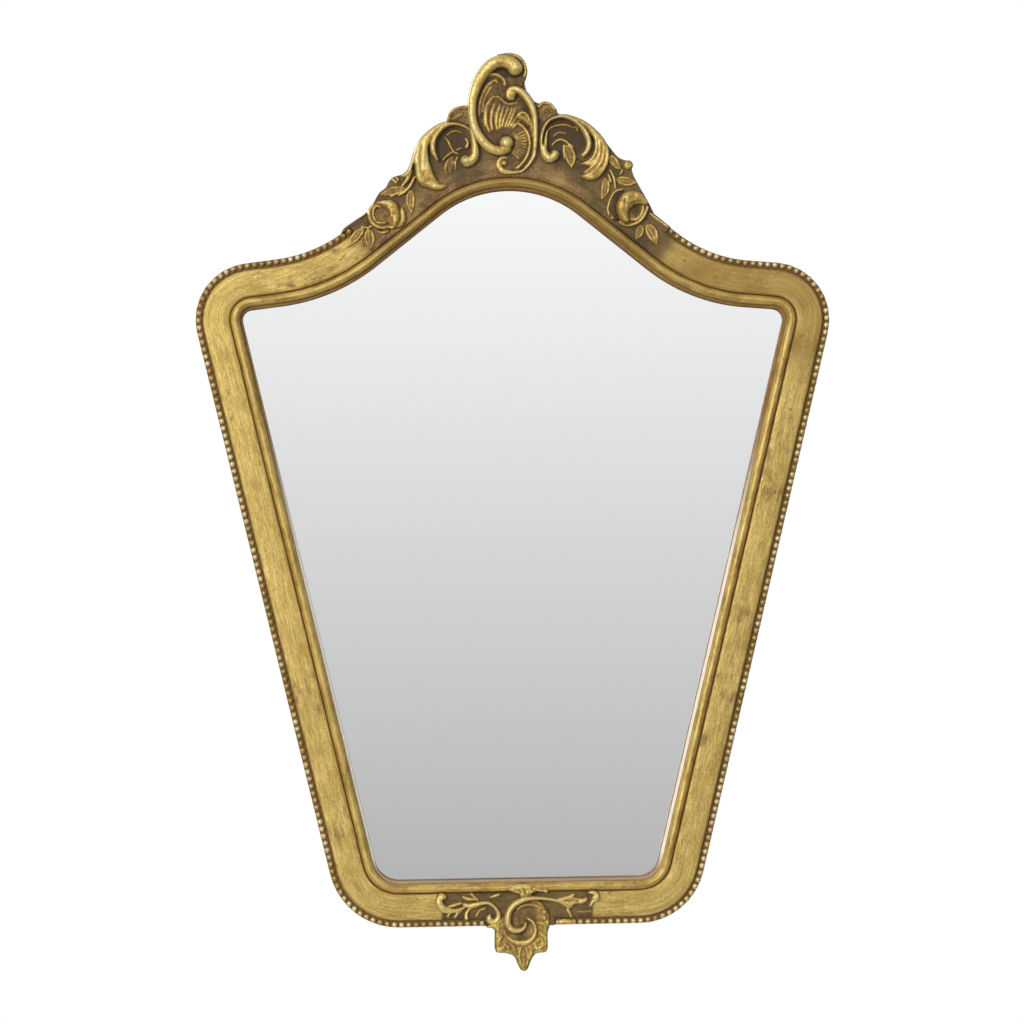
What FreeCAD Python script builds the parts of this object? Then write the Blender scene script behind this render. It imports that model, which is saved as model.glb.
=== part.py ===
import FreeCAD, Part
import math
import os
from collections import namedtuple

import Sketcher
from FreeCAD import Placement, Rotation, Vector

# A crested giltwood wall mirror that hangs from one ring, in millimetres.
# The origin is the ring's bearing point on the wall. X runs to the viewer's right, Z runs up,
# the wall is the plane Y = 0 and the front faces -Y.

doc = FreeCAD.newDocument("crested_mirror")
sheet = doc.addObject("Spreadsheet::Sheet", "sizes")
SIZES = {
    # Sight line, the frame's inner edge: corner places and bend radii, mirrored left to right
    "peak_z": -32.8,
    "peak_radius": 77.7,
    "shoulder_x": 125.3,
    "shoulder_z": -132.8,
    "shoulder_radius": 127.0,
    "top_corner_x": 190.6,
    "top_corner_z": -139.4,
    "top_corner_radius": 10.5,
    "foot_corner_x": 97.6,
    "foot_corner_z": -536.4,
    "foot_corner_radius": 14.0,
    # Section of the frame, from the sight line outwards and from the back forwards
    "sight_width": 10.0,
    "band_width": 17.5,
    "rebate_width": 8.0,
    "lip_thickness": 3.0,
    "band_height": 15.0,
    "ledge_height": 10.8,
    # Sight moulding: a half round between an inner slope and an outer quirk
    "slope_width": 3.0,
    "slope_drop": 2.0,
    "quirk_width": 0.6,
    "round_height": 17.4,
    # Bead strings
    "strip_thickness": 1.2,
    "bead_radius": 2.1,
    "bead_margin": 0.4,
    "bead_floor": 0.1,
    "bead_pitch": 5.14,
    "bead_stop_crest": 55.5,
    "bead_stop_foot": 24.0,
    # Mirror plate and what lies behind it
    "glass_thickness": 4.0,
    "lining_thickness": 0.8,
    "board_thickness": 3.0,
    "edge_clearance": 1.5,
    "block_length": 30.0,
    "block_spread": 55.0,
    # Dowels in the mitres and under the crest board
    "dowel_radius": 3.0,
    "dowel_length": 28.0,
    "dowel_height": 5.4,
    "dowel_inner": 13.0,
    "dowel_outer": 21.5,
    "crest_dowel_spread": 46.0,
    "glue_clearance": 0.1,
    # Turn buttons and their screws
    "button_length": 23.5,
    "button_width": 9.0,
    "button_thickness": 1.2,
    "button_inset": 5.0,
    "button_from_corner": 70.0,
    "button_spread_foot": 36.0,
    "running_clearance": 0.08,
    "screw_radius": 1.6,
    "screw_depth": 9.0,
    "screw_tip_length": 2.5,
    "screw_head_radius": 3.2,
    "screw_head_top_radius": 1.9,
    "screw_head_height": 1.9,
    "screw_slot_width": 0.8,
    "screw_slot_depth": 0.9,
    # Hanger: strap, ring and their screws
    "ring_wire_radius": 1.2,
    "ring_rise": 14.7,
    "ring_half_width": 9.0,
    "ring_corner_radius": 3.0,
    "ring_shoulder": 4.0,
    "strap_width": 10.0,
    "strap_thickness": 1.0,
    "strap_length": 29.0,
    "strap_first_screw": 8.5,
    "strap_second_screw": 21.5,
    # Wall bumpers
    "wall_gap": 6.0,
    "bumper_radius": 6.0,
    "bumper_x": 80.0,
    "bumper_across": 20.0,
    # Carved ornament: one unit of the carver's drawing, then the depths and radii of the relief
    "carving_unit": 1.0,
    "carving_ground": 3.2,
    "scroll_radius": 3.1,
    "scroll_lift": 1.2,
    "volute_radius": 4.5,
    "thin_scroll_radius": 1.9,
    "small_volute_radius": 2.9,
    "flute_radius": 1.3,
    "rose_radius": 12.0,
    "rose_heart_radius": 8.0,
    "petal_radius": 2.4,
    "leaf_height": 3.4,
    "stem_radius": 1.5,
    "bud_radius": 3.2,
    "pendant_back": 5.0,
}
for row, (alias, number) in enumerate(SIZES.items(), start=1):
    sheet.set(f"A{row}", alias)
    sheet.set(f"B{row}", str(number))
    sheet.setAlias(f"B{row}", alias)
doc.recompute()
size = namedtuple("Size", SIZES)(*[float(sheet.get(alias)) for alias in SIZES])

# Sizes that follow from the driving ones
ledge_width = 2 * (size.bead_radius + size.bead_margin)
band_edge = size.sight_width + size.band_width
frame_width = band_edge + ledge_width
rebate_depth = size.glass_thickness + size.lining_thickness + size.board_thickness
seat_height = rebate_depth + size.lip_thickness
pilot_radius = size.screw_radius + size.running_clearance
screw_length = size.screw_depth + size.screw_tip_length
knuckle_bore = size.ring_wire_radius + size.running_clearance
knuckle_radius = knuckle_bore + size.strap_thickness
TINY = 1e-6
# How far a cutting solid reaches past what it cuts
OVERCUT = 1.0
# How much of the shorter side a softened corner takes up
BEND_SHARE = 0.45

# Plane geometry in the front view. A stretch is a straight run or a round bend of a line: its start,
# its heading there, its length, and its bend, which is the turn to the right per millimetre.
Stretch = namedtuple("Stretch", "point heading length bend")


def turned(vector, angle):
    """A plane vector turned clockwise, as seen from the front."""
    cosine, sine = math.cos(angle), math.sin(angle)
    return (vector[0] * cosine + vector[1] * sine, vector[1] * cosine - vector[0] * sine)


def outward(heading):
    """The direction to the left of a heading, which points out of a clockwise outline."""
    return (-heading[1], heading[0])


def moved(point, direction, distance):
    return (point[0] + direction[0] * distance, point[1] + direction[1] * distance)


def centre_of(stretch):
    return moved(stretch.point, outward(stretch.heading), -1 / stretch.bend)


def travel(stretch, distance):
    """The point and the heading at a distance along a stretch."""
    if stretch.bend == 0:
        return moved(stretch.point, stretch.heading, distance), stretch.heading
    centre = centre_of(stretch)
    angle = stretch.bend * distance
    arm = (stretch.point[0] - centre[0], stretch.point[1] - centre[1])
    arm = turned(arm, angle)
    return (centre[0] + arm[0], centre[1] + arm[1]), turned(stretch.heading, angle)


def corner_turns(points, closed):
    """Headings and lengths of the sides, and the signed turn at each corner of a polygon."""
    count = len(points)
    headings, lengths = [], []
    for i in range(count if closed else count - 1):
        start, end = points[i], points[(i + 1) % count]
        length = math.hypot(end[0] - start[0], end[1] - start[1])
        headings.append(((end[0] - start[0]) / length, (end[1] - start[1]) / length))
        lengths.append(length)
    turns = []
    for i in range(count):
        if not closed and i in (0, count - 1):
            turns.append(0.0)
            continue
        before, after = headings[i - 1], headings[i]
        cross = before[1] * after[0] - before[0] * after[1]
        dot = before[0] * after[0] + before[1] * after[1]
        turns.append(math.atan2(cross, dot))
    return headings, lengths, turns


def rounded(corners, closed=True):
    """The stretches of a polygon whose corners, each a place and a radius, are rounded to tangent bends."""
    points = [corner[:2] for corner in corners]
    headings, lengths, turns = corner_turns(points, closed)
    count = len(points)
    reach = [corner[2] * math.tan(abs(turn) / 2) for corner, turn in zip(corners, turns)]
    share = [1.0] * count
    for i, length in enumerate(lengths):
        following = (i + 1) % count
        fit = length / max(reach[i] + reach[following], TINY)
        share[i] = min(share[i], fit)
        share[following] = min(share[following], fit)
    reach = [r * s for r, s in zip(reach, share)]
    line = []
    for i in range(count):
        radius = corners[i][2] * share[i]
        if abs(turns[i]) > TINY and radius > TINY:
            start = moved(points[i], headings[i - 1], -reach[i])
            bend = math.copysign(1 / radius, turns[i])
            line.append(Stretch(start, headings[i - 1], abs(turns[i]) * radius, bend))
        else:
            line.append(Stretch(points[i], headings[min(i, len(headings) - 1)], 0.0, 0.0))
        if i < len(headings):
            run = lengths[i] - reach[i] - reach[(i + 1) % count]
            line.append(Stretch(moved(points[i], headings[i], reach[i]), headings[i], max(run, 0.0), 0.0))
    return line


def softened(points, closed=True):
    """A line through the sides of a polygon with each corner rounded as far as its sides allow."""
    lengths, turns = corner_turns(points, closed)[1:]
    corners = []
    for i, (point, turn) in enumerate(zip(points, turns)):
        if abs(turn) < TINY:
            corners.append((point[0], point[1], 0.0))
            continue
        shorter = min(lengths[i - 1], lengths[i % len(lengths)])
        corners.append((point[0], point[1], BEND_SHARE * shorter / math.tan(abs(turn) / 2)))
    return rounded(corners, closed)


class Outline:
    """A closed clockwise line round the frame, measured along its length from its first corner's bend."""

    def __init__(self, corners):
        self.corners = corners
        self.line = rounded(corners)
        self.length = sum(stretch.length for stretch in self.line)

    def bend_start(self, corner):
        return sum(stretch.length for stretch in self.line[:2 * corner])

    def bend_end(self, corner):
        return self.bend_start(corner) + self.line[2 * corner].length

    def bend_middle(self, corner):
        return (self.bend_start(corner) + self.bend_end(corner)) / 2

    def between(self, start, end):
        """The stretches from one distance to a later one, past the line's own start if need be."""
        cut = []
        passed = 0.0
        for stretch in self.line * 2:
            low = max(start - passed, 0.0)
            high = min(end - passed, stretch.length)
            if high - low > TINY:
                point, heading = travel(stretch, low)
                cut.append(Stretch(point, heading, high - low, stretch.bend))
            passed += stretch.length
        return cut

    def spot(self, distance):
        """The point and the heading at a distance."""
        stretch = self.between(distance, distance + 1.0)[0]
        return stretch.point, stretch.heading

    def offset(self, distance):
        """The parallel outline at a distance outside this one."""
        points = [corner[:2] for corner in self.corners]
        headings, _, turns = corner_turns(points, True)
        corners = []
        for i, (x, z, radius) in enumerate(self.corners):
            middle = turned(outward(headings[i - 1]), turns[i] / 2)
            place = moved((x, z), middle, distance / math.cos(turns[i] / 2))
            corners.append((place[0], place[1], radius + math.copysign(distance, turns[i])))
        return Outline(corners)


# The sight line starts at the left top corner and runs clockwise over the crest
LEFT_TOP, LEFT_SHOULDER, PEAK, RIGHT_SHOULDER, RIGHT_TOP, RIGHT_FOOT, LEFT_FOOT = range(7)
shoulder = (size.shoulder_x, size.shoulder_z, size.shoulder_radius)
top_corner = (size.top_corner_x, size.top_corner_z, size.top_corner_radius)
foot_corner = (size.foot_corner_x, size.foot_corner_z, size.foot_corner_radius)


def mirrored(corner):
    return (-corner[0],) + tuple(corner[1:])


sight = Outline([
    mirrored(top_corner), mirrored(shoulder), (0.0, size.peak_z, size.peak_radius), shoulder,
    top_corner, foot_corner, mirrored(foot_corner),
])
outer = sight.offset(frame_width)


def frame_point(place, height):
    """A point in space from its place in the front view and its height in front of the frame's back."""
    return Vector(place[0], -size.wall_gap - height, place[1])


# Solids made from plane lines


def edge_through(points):
    if len(points) == 2:
        return Part.LineSegment(*points).toShape()
    return Part.Arc(*points).toShape()


def polygon(points):
    """The sides of a section, each as its two ends."""
    return [(points[i], points[(i + 1) % len(points)]) for i in range(len(points))]


def round_section(radius, height):
    """A circle as two half rounds about a height on the path."""
    right, left = (radius, height), (-radius, height)
    return [(right, (0.0, height + radius), left), (left, (0.0, height - radius), right)]


def upright(solid):
    """The same solid with its faces pointing out."""
    if solid.Volume < 0:
        solid.reverse()
    return solid


def joined(solids):
    """One solid from solids that touch or overlap."""
    shape = solids[0]
    if len(solids) > 1:
        shape = shape.multiFuse(solids[1:])
    shape = shape.removeSplitter()
    return shape.Solids[0] if len(shape.Solids) == 1 else shape


def swept(section, line):
    """A section, given across the path and in height, carried along a line."""
    solids = []
    for stretch in line:
        if stretch.length < TINY:
            continue
        across = outward(stretch.heading)
        edges = []
        for side in section:
            points = [frame_point(moved(stretch.point, across, u), height) for u, height in side]
            edges.append(edge_through(points))
        face = Part.Face(Part.Wire(edges))
        if stretch.bend == 0:
            run = Vector(stretch.heading[0], 0, stretch.heading[1]) * stretch.length
            solids.append(upright(face.extrude(run)))
        else:
            axis = Vector(0, math.copysign(1, stretch.bend), 0)
            angle = math.degrees(abs(stretch.bend) * stretch.length)
            solids.append(upright(face.revolve(frame_point(centre_of(stretch), 0), axis, angle)))
    return joined(solids)


def slab(line, low, high):
    """A flat solid with a closed line as its outline."""
    edges = []
    for stretch in line:
        if stretch.length < TINY:
            continue
        places = [stretch.point, travel(stretch, stretch.length)[0]]
        if stretch.bend != 0:
            places.insert(1, travel(stretch, stretch.length / 2)[0])
        edges.append(edge_through([frame_point(place, low) for place in places]))
    face = Part.Face(Part.Wire(Part.__sortEdges__(edges)))
    return upright(face.extrude(Vector(0, low - high, 0)))


def rod(place, direction, radius, length, height):
    """A cylinder centred on a place and lying along a direction in the front view."""
    start = frame_point(moved(place, direction, -length / 2), height)
    return Part.makeCylinder(radius, length, start, Vector(direction[0], 0, direction[1]))


def drilled(place, radius, depth, from_height):
    """A cylinder that runs forward into the frame from a height."""
    return Part.makeCylinder(radius, depth, frame_point(place, from_height), Vector(0, -1, 0))


# Named pieces of the document
pieces = []


def keep(piece, label):
    piece.Label = label
    pieces.append(piece)
    return piece


def shaped(label, shape):
    """A piece whose shape follows the frame's own lines."""
    feature = doc.addObject("Part::Feature", label)
    feature.Shape = shape
    return keep(feature, label)


def primitive(kind, name, **sizes):
    """A primitive with its sizes bound to the sheet."""
    solid = doc.addObject(kind, name)
    for dimension, formula in sizes.items():
        solid.setExpression(dimension, formula)
    return solid


def copies(label, template, placements):
    """A group of separate copies of one solid."""
    solids = []
    for placement in placements:
        solid = template.Shape.copy()
        solid.Placement = placement.multiply(solid.Placement)
        solids.append(solid)
    return shaped(label, Part.makeCompound(solids))


# Places on the frame that several pieces share
MITRES = [LEFT_TOP, RIGHT_TOP, RIGHT_FOOT, LEFT_FOOT]
foot_middle = (sight.bend_end(RIGHT_FOOT) + sight.bend_start(LEFT_FOOT)) / 2
button_stations = [
    sight.bend_start(PEAK) - size.bead_stop_crest / 2,
    sight.bend_end(PEAK) + size.bead_stop_crest / 2,
    sight.bend_end(RIGHT_TOP) + size.button_from_corner,
    sight.bend_start(RIGHT_FOOT) - size.button_from_corner,
    foot_middle - size.button_spread_foot,
    foot_middle + size.button_spread_foot,
    sight.bend_end(LEFT_FOOT) + size.button_from_corner,
    sight.length - size.button_from_corner,
]
button_spots = []
for station in button_stations:
    point, heading = sight.spot(station)
    across = outward(heading)
    button_spots.append((moved(point, across, size.rebate_width + size.button_inset), across))

mitre_dowels = []
for mitre in MITRES:
    point, heading = sight.spot(sight.bend_middle(mitre))
    for distance in (size.dowel_inner, size.dowel_outer):
        mitre_dowels.append((moved(point, outward(heading), distance), heading))
crest_dowels = []
for side in (-1, 1):
    point, heading = outer.spot(outer.bend_middle(PEAK) + side * size.crest_dowel_spread)
    crest_dowels.append((point, outward(heading)))

knuckle_z = -size.ring_rise
strap_screw_spots = [(0.0, knuckle_z - size.strap_first_screw), (0.0, knuckle_z - size.strap_second_screw)]

# Frame members

ledged_section = polygon([
    (size.rebate_width, 0), (frame_width, 0), (frame_width, size.ledge_height),
    (band_edge, size.ledge_height), (band_edge, size.band_height), (size.sight_width, size.band_height),
    (size.sight_width, seat_height), (0, seat_height), (0, rebate_depth), (size.rebate_width, rebate_depth),
])
plain_section = polygon([
    (size.rebate_width, 0), (frame_width, 0), (frame_width, size.band_height),
    (size.sight_width, size.band_height), (size.sight_width, seat_height), (0, seat_height),
    (0, rebate_depth), (size.rebate_width, rebate_depth),
])
bores = [rod(place, way, size.dowel_radius + size.glue_clearance, size.dowel_length + 2 * size.glue_clearance,
             size.dowel_height) for place, way in mitre_dowels + crest_dowels]
bores += [drilled(place, pilot_radius, screw_length, 0) for place, _ in button_spots]
bores += [drilled(place, pilot_radius, screw_length - size.strap_thickness, 0) for place in strap_screw_spots]


def member(label, spans):
    """A length of the frame, its bead ledge left out where a span says so, bored for what it holds."""
    lengths = [swept(section, sight.between(start, end)) for section, start, end in spans]
    solid = joined(lengths)
    reach = solid.BoundBox
    shaped(label, joined([solid.cut([bore for bore in bores if reach.intersect(bore.BoundBox)])]))


crest_start = sight.bend_middle(LEFT_TOP)
crest_end = sight.bend_middle(RIGHT_TOP)
crest_bare = (sight.bend_start(PEAK) - size.bead_stop_crest, sight.bend_end(PEAK) + size.bead_stop_crest)
foot_start = sight.bend_middle(RIGHT_FOOT)
foot_end = sight.bend_middle(LEFT_FOOT)
foot_bare = (foot_middle - size.bead_stop_foot, foot_middle + size.bead_stop_foot)
round_again = sight.length + crest_start
member("crest_rail", [(ledged_section, crest_start, crest_bare[0]), (plain_section, *crest_bare),
                      (ledged_section, crest_bare[1], crest_end)])
member("right_stile", [(ledged_section, crest_end, foot_start)])
member("bottom_rail", [(ledged_section, foot_start, foot_bare[0]), (plain_section, *foot_bare),
                       (ledged_section, foot_bare[1], foot_end)])
member("left_stile", [(ledged_section, foot_end, round_again)])

# Sight moulding in four lengths
round_radius = (size.sight_width - size.slope_width - size.quirk_width) / 2
round_middle = size.slope_width + round_radius
round_foot = size.round_height - round_radius
moulding_section = polygon([
    (size.slope_width, round_foot), (0, round_foot - size.slope_drop), (0, seat_height),
    (size.sight_width, seat_height), (size.sight_width, round_foot),
    (size.sight_width - size.quirk_width, round_foot),
])[:-1]
moulding_section.append((
    (size.sight_width - size.quirk_width, round_foot), (round_middle, size.round_height),
    (size.slope_width, round_foot),
))
for label, start, end in [
    ("sight_moulding_top", crest_start, crest_end), ("sight_moulding_right", crest_end, foot_start),
    ("sight_moulding_bottom", foot_start, foot_end), ("sight_moulding_left", foot_end, round_again),
]:
    shaped(label, swept(moulding_section, sight.between(start, end)))

# Bead strings, each a strip on the ledge with its beads
bead_line = sight.offset(frame_width - ledge_width / 2)
strip_front = size.ledge_height + size.strip_thickness
bead_height = size.ledge_height + size.bead_floor + size.bead_radius
strip_section = polygon([
    (-ledge_width / 2, size.ledge_height), (ledge_width / 2, size.ledge_height),
    (ledge_width / 2, strip_front), (-ledge_width / 2, strip_front),
])
bead_foot_middle = (bead_line.bend_end(RIGHT_FOOT) + bead_line.bend_start(LEFT_FOOT)) / 2


def bead_string(label, start, end):
    strip = swept(strip_section, bead_line.between(start, end))
    count = round((end - start) / size.bead_pitch)
    step = (end - start) / count
    beads = []
    for i in range(count):
        place = bead_line.spot(start + (i + 0.5) * step)[0]
        beads.append(Part.makeSphere(size.bead_radius, frame_point(place, bead_height)))
    shaped(label, joined([strip] + beads))


bead_string("bead_string_top_left", bead_line.bend_middle(LEFT_TOP),
            bead_line.bend_start(PEAK) - size.bead_stop_crest)
bead_string("bead_string_top_right", bead_line.bend_end(PEAK) + size.bead_stop_crest,
            bead_line.bend_middle(RIGHT_TOP))
bead_string("bead_string_right", bead_line.bend_middle(RIGHT_TOP), bead_line.bend_middle(RIGHT_FOOT))
bead_string("bead_string_bottom_right", bead_line.bend_middle(RIGHT_FOOT),
            bead_foot_middle - size.bead_stop_foot)
bead_string("bead_string_bottom_left", bead_foot_middle + size.bead_stop_foot,
            bead_line.bend_middle(LEFT_FOOT))
bead_string("bead_string_left", bead_line.bend_middle(LEFT_FOOT),
            bead_line.length + bead_line.bend_middle(LEFT_TOP))

# Local axes of the carving: the crest's about the top of the outer line, a spray's about the middle of the
# rail's straight run beside it, the foot's about the middle of the outer lower edge
crest_top = outer.spot(outer.bend_middle(PEAK))[0]
foot_low = outer.spot((outer.bend_end(RIGHT_FOOT) + outer.bend_start(LEFT_FOOT)) / 2)[0]
rail_run = outer.bend_start(RIGHT_SHOULDER) - outer.bend_end(PEAK)
spray_origin, spray_heading = outer.spot(outer.bend_end(PEAK) + rail_run / 2)


def drawn(length):
    """A length read off the carver's drawing, in its unit."""
    return length * size.carving_unit


def on_crest(points):
    return [(crest_top[0] + drawn(x), crest_top[1] + drawn(z)) for x, z in points]


def on_foot(points):
    return [(foot_low[0] + drawn(x), foot_low[1] + drawn(z)) for x, z in points]


def on_rail(points, side):
    """Points along and out from the rail's slope, on the right side (1) or mirrored to the left (-1)."""
    across = outward(spray_heading)
    along_rail = [(moved(spray_origin, spray_heading, drawn(along)), drawn(out)) for along, out in points]
    places = [moved(foot, across, out) for foot, out in along_rail]
    return [(side * x, z) for x, z in places]


# Crest board: its upper edge by hand, its lower edge the frame's own outer line
LEFT_EDGE = [(5, -2), (4, 1.5), (-2.5, 3), (-18, 6.5), (-28.5, 5.5)]
CREST_EDGE = [
    (-68.5, -14.5), (-65, -4.5), (-61.5, 1.5), (-54, 8), (-43.5, 15), (-38.5, 22.5), (-29.5, 25.5),
    (-26.5, 30.5), (-23, 44.5), (-13.5, 56.5), (0.5, 61.5), (8.5, 57.5), (10.5, 50), (9, 40), (17, 31),
    (25, 27.5), (32, 23), (42.5, 19), (52, 15), (60, 8), (66.5, 1), (71, -6),
]
RIGHT_EDGE = [(-33.5, 15), (-25, 18), (-20, 14.5), (-6.5, 8), (7, 1), (9, -2)]
below_rail = (0.0, crest_top[1] - frame_width)
board_edge = on_rail(LEFT_EDGE, -1) + on_crest(CREST_EDGE) + on_rail(RIGHT_EDGE, 1) + [below_rail]
board_blank = slab(softened(board_edge), 0, size.band_height)
board = board_blank.cut([slab(outer.line, -OVERCUT, size.band_height + OVERCUT)] + bores)
shaped("crest_board", joined([board]))

# Carving: each piece is one solid seated on the band and the crest board
ground = size.band_height
carving_front = ground + size.carving_ground


def tube(points, radius, height):
    """A half-sunk round ridge along a hand-drawn line."""
    return swept(round_section(radius, height), softened(points, closed=False))


def ball(place, radius, height):
    return Part.makeSphere(radius, frame_point(place, height))


# Half the length and half the breadth of a leaf's ring, as shares of the leaf's own
LEAF_FOOT = (0.5, 0.5)
LEAF_RIDGE = (0.36, 0.16)


def leaf(base, tip, width):
    """A pointed leaf with bevelled sides."""
    middle = ((base[0] + tip[0]) / 2, (base[1] + tip[1]) / 2)
    length = math.hypot(tip[0] - base[0], tip[1] - base[1])
    along = ((tip[0] - base[0]) / length, (tip[1] - base[1]) / length)
    across = outward(along)
    rings = []
    for stretch, breadth, height in (LEAF_FOOT + (ground,), LEAF_RIDGE + (ground + size.leaf_height,)):
        ends = [moved(middle, along, -length * stretch), moved(middle, along, length * stretch)]
        sides = [moved(middle, across, side * width * breadth) for side in (1, -1)]
        first = edge_through([frame_point(p, height) for p in (ends[0], sides[0], ends[1])])
        second = edge_through([frame_point(p, height) for p in (ends[1], sides[1], ends[0])])
        rings.append(Part.Wire([first, second]))
    return upright(Part.makeLoft(rings, True, True))


def rose(place):
    """An open rose: a rolled outer petal round a domed heart."""
    forward = Vector(0, -1, 0)
    petal_line = size.rose_radius - size.petal_radius
    petal_height = ground + size.petal_radius
    return [
        Part.makeCylinder(petal_line, size.petal_radius, frame_point(place, ground), forward),
        Part.makeTorus(petal_line, size.petal_radius, frame_point(place, petal_height), forward),
        ball(place, size.rose_heart_radius, ground + size.petal_radius / 2),
    ]


def carved(label, solids):
    """A carving flat on its ground, with everything behind the ground cut away."""
    shape = joined(solids)
    reach = shape.BoundBox
    low, high = reach.ZMin - OVERCUT, reach.ZMax + OVERCUT
    left, right = reach.XMin - OVERCUT, reach.XMax + OVERCUT
    corner = Vector(left, -size.wall_gap - ground, low)
    behind = Part.makeBox(right - left, ground + size.wall_gap, high - low, corner)
    shaped(label, joined([shape.cut(behind)]))


def cartouche():
    edge = on_crest([
        (-17, -5.5), (-24, 1.5), (-28, 15.5), (-28, 28.5), (-24.5, 44.5), (-18, 53.5), (-8.5, 61), (0.5, 63),
        (9, 58.5), (12, 50.5), (10, 41), (16, 33), (21, 25.5), (21.8, 13), (20.8, -2), (17, -13.5),
        (8.5, -20.5), (-1.5, -22), (-8.5, -19.5), (-10.5, -12.5),
    ])
    great_scroll = on_crest([
        (7.5, 55), (-0.5, 59.5), (-11, 55), (-19.5, 44.5), (-25, 30.5), (-25, 15.5),
        (-20.5, 2.5), (-12.5, -4.5), (-5, -5), (-2.5, -0.5),
    ])
    top_volute = on_crest([(6, 51.5)])[0]
    small_scroll = on_crest([
        (3, 34), (9, 35), (15.5, 27.5), (18.5, 17), (19.2, 6), (17.5, -4.5), (13.5, -13.5), (5.5, -19.5),
        (-3.5, -19.5), (-7.5, -14.5), (-4, -11.5),
    ])
    shell_root = on_crest([(-2.5, 4)])[0]
    shell_rim = on_crest([(-16, 15.5), (-15, 22), (-12.5, 28), (-8.5, 31.5), (-3, 30), (2, 28), (6.5, 26)])
    solids = [
        slab(softened(edge), ground, carving_front),
        tube(great_scroll, size.scroll_radius, carving_front + size.scroll_lift),
        tube(small_scroll, size.thin_scroll_radius, carving_front),
        ball(top_volute, size.volute_radius, carving_front + size.scroll_lift),
        ball(great_scroll[-1], size.volute_radius, carving_front + size.scroll_lift),
        ball(small_scroll[0], size.small_volute_radius, carving_front),
        ball(small_scroll[-1], size.small_volute_radius, carving_front),
    ]
    for tip in shell_rim:
        solids.append(tube([shell_root, tip], size.flute_radius, carving_front))
    return solids


def crest_scroll(edge, spine, curl, tuft):
    """An acanthus C-scroll with its curl and its tuft of leaf beside the cartouche."""
    spine, curl = on_crest(spine), on_crest(curl)
    return [
        slab(softened(on_crest(edge)), ground, carving_front),
        slab(softened(on_crest(tuft)), ground, ground + size.leaf_height),
        tube(spine, size.scroll_radius, carving_front),
        tube(curl, size.thin_scroll_radius, carving_front - size.scroll_lift),
        ball(spine[0], size.volute_radius, carving_front - size.scroll_lift),
        ball(spine[-1], size.volute_radius, carving_front - size.scroll_lift),
        ball(curl[-1], size.small_volute_radius, carving_front - size.scroll_lift),
    ]


def rose_spray(side, heart, leaves, stems, bud):
    """A rose with its leaves, and the stems that hold them together."""
    solids = rose(on_rail([heart], side)[0])
    for base, tip, width in leaves:
        solids.append(leaf(*on_rail([base, tip], side), drawn(width)))
    for stem in stems:
        solids.append(tube(on_rail(stem, side), size.stem_radius, ground + size.stem_radius / 2))
    solids.append(ball(on_rail([bud], side)[0], size.bud_radius, ground + size.stem_radius))
    return solids


def foot_scroll(route, root_leaf, buds, volute):
    route = on_foot(route)
    solids = [
        tube(route, size.thin_scroll_radius, ground + size.thin_scroll_radius / 2),
        ball(on_foot([volute])[0], size.small_volute_radius, ground + size.thin_scroll_radius / 2),
        ball(route[-1], size.small_volute_radius, ground + size.thin_scroll_radius / 2),
    ]
    for base, tip, width in buds:
        solids.append(leaf(*on_foot([base, tip]), drawn(width)))
    solids.append(leaf(*on_foot(root_leaf[:2]), drawn(root_leaf[2])))
    return solids


def pendant():
    edge = on_foot([
        (-13.5, -1.5), (-14.5, -9.5), (-14.5, -18.5), (-7, -20), (-1.5, -23.5), (1.5, -30.5), (5, -32.5),
        (8, -30), (11.5, -23), (20.5, -19), (21.5, -10.5), (21.5, -1.5), (20, 9), (16, 18), (5.5, 20.5),
        (-5, 16.5), (-9.5, 7.5),
    ])
    great_scroll = on_foot([
        (19, 17.5), (10, 17.5), (0, 14.5), (-5.5, 9), (-6.5, 2), (-2.5, -3.5), (3, -3.5), (6, 0.5),
    ])
    rim = on_foot([(7, 4), (12, 0.5), (13, -6), (8.5, -12), (1, -12), (-5.5, -8.5), (-9, -3.5)])
    behind_edge = slab(softened(edge), size.pendant_back, ground)
    solids = [
        slab(softened(edge), ground, carving_front),
        tube(great_scroll, size.thin_scroll_radius, carving_front),
        tube(rim, size.flute_radius, carving_front),
        ball(great_scroll[-1], size.small_volute_radius, carving_front),
    ]
    for base, tip, width in (((-8, -8), (-11.5, -17), 6), ((15, -8), (18, -17), 6), ((5, -15), (5, -31.5), 9)):
        solids.append(leaf(*on_foot([base, tip]), drawn(width)))
    return solids, behind_edge.cut(slab(outer.line, -OVERCUT, ground + OVERCUT))


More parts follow.
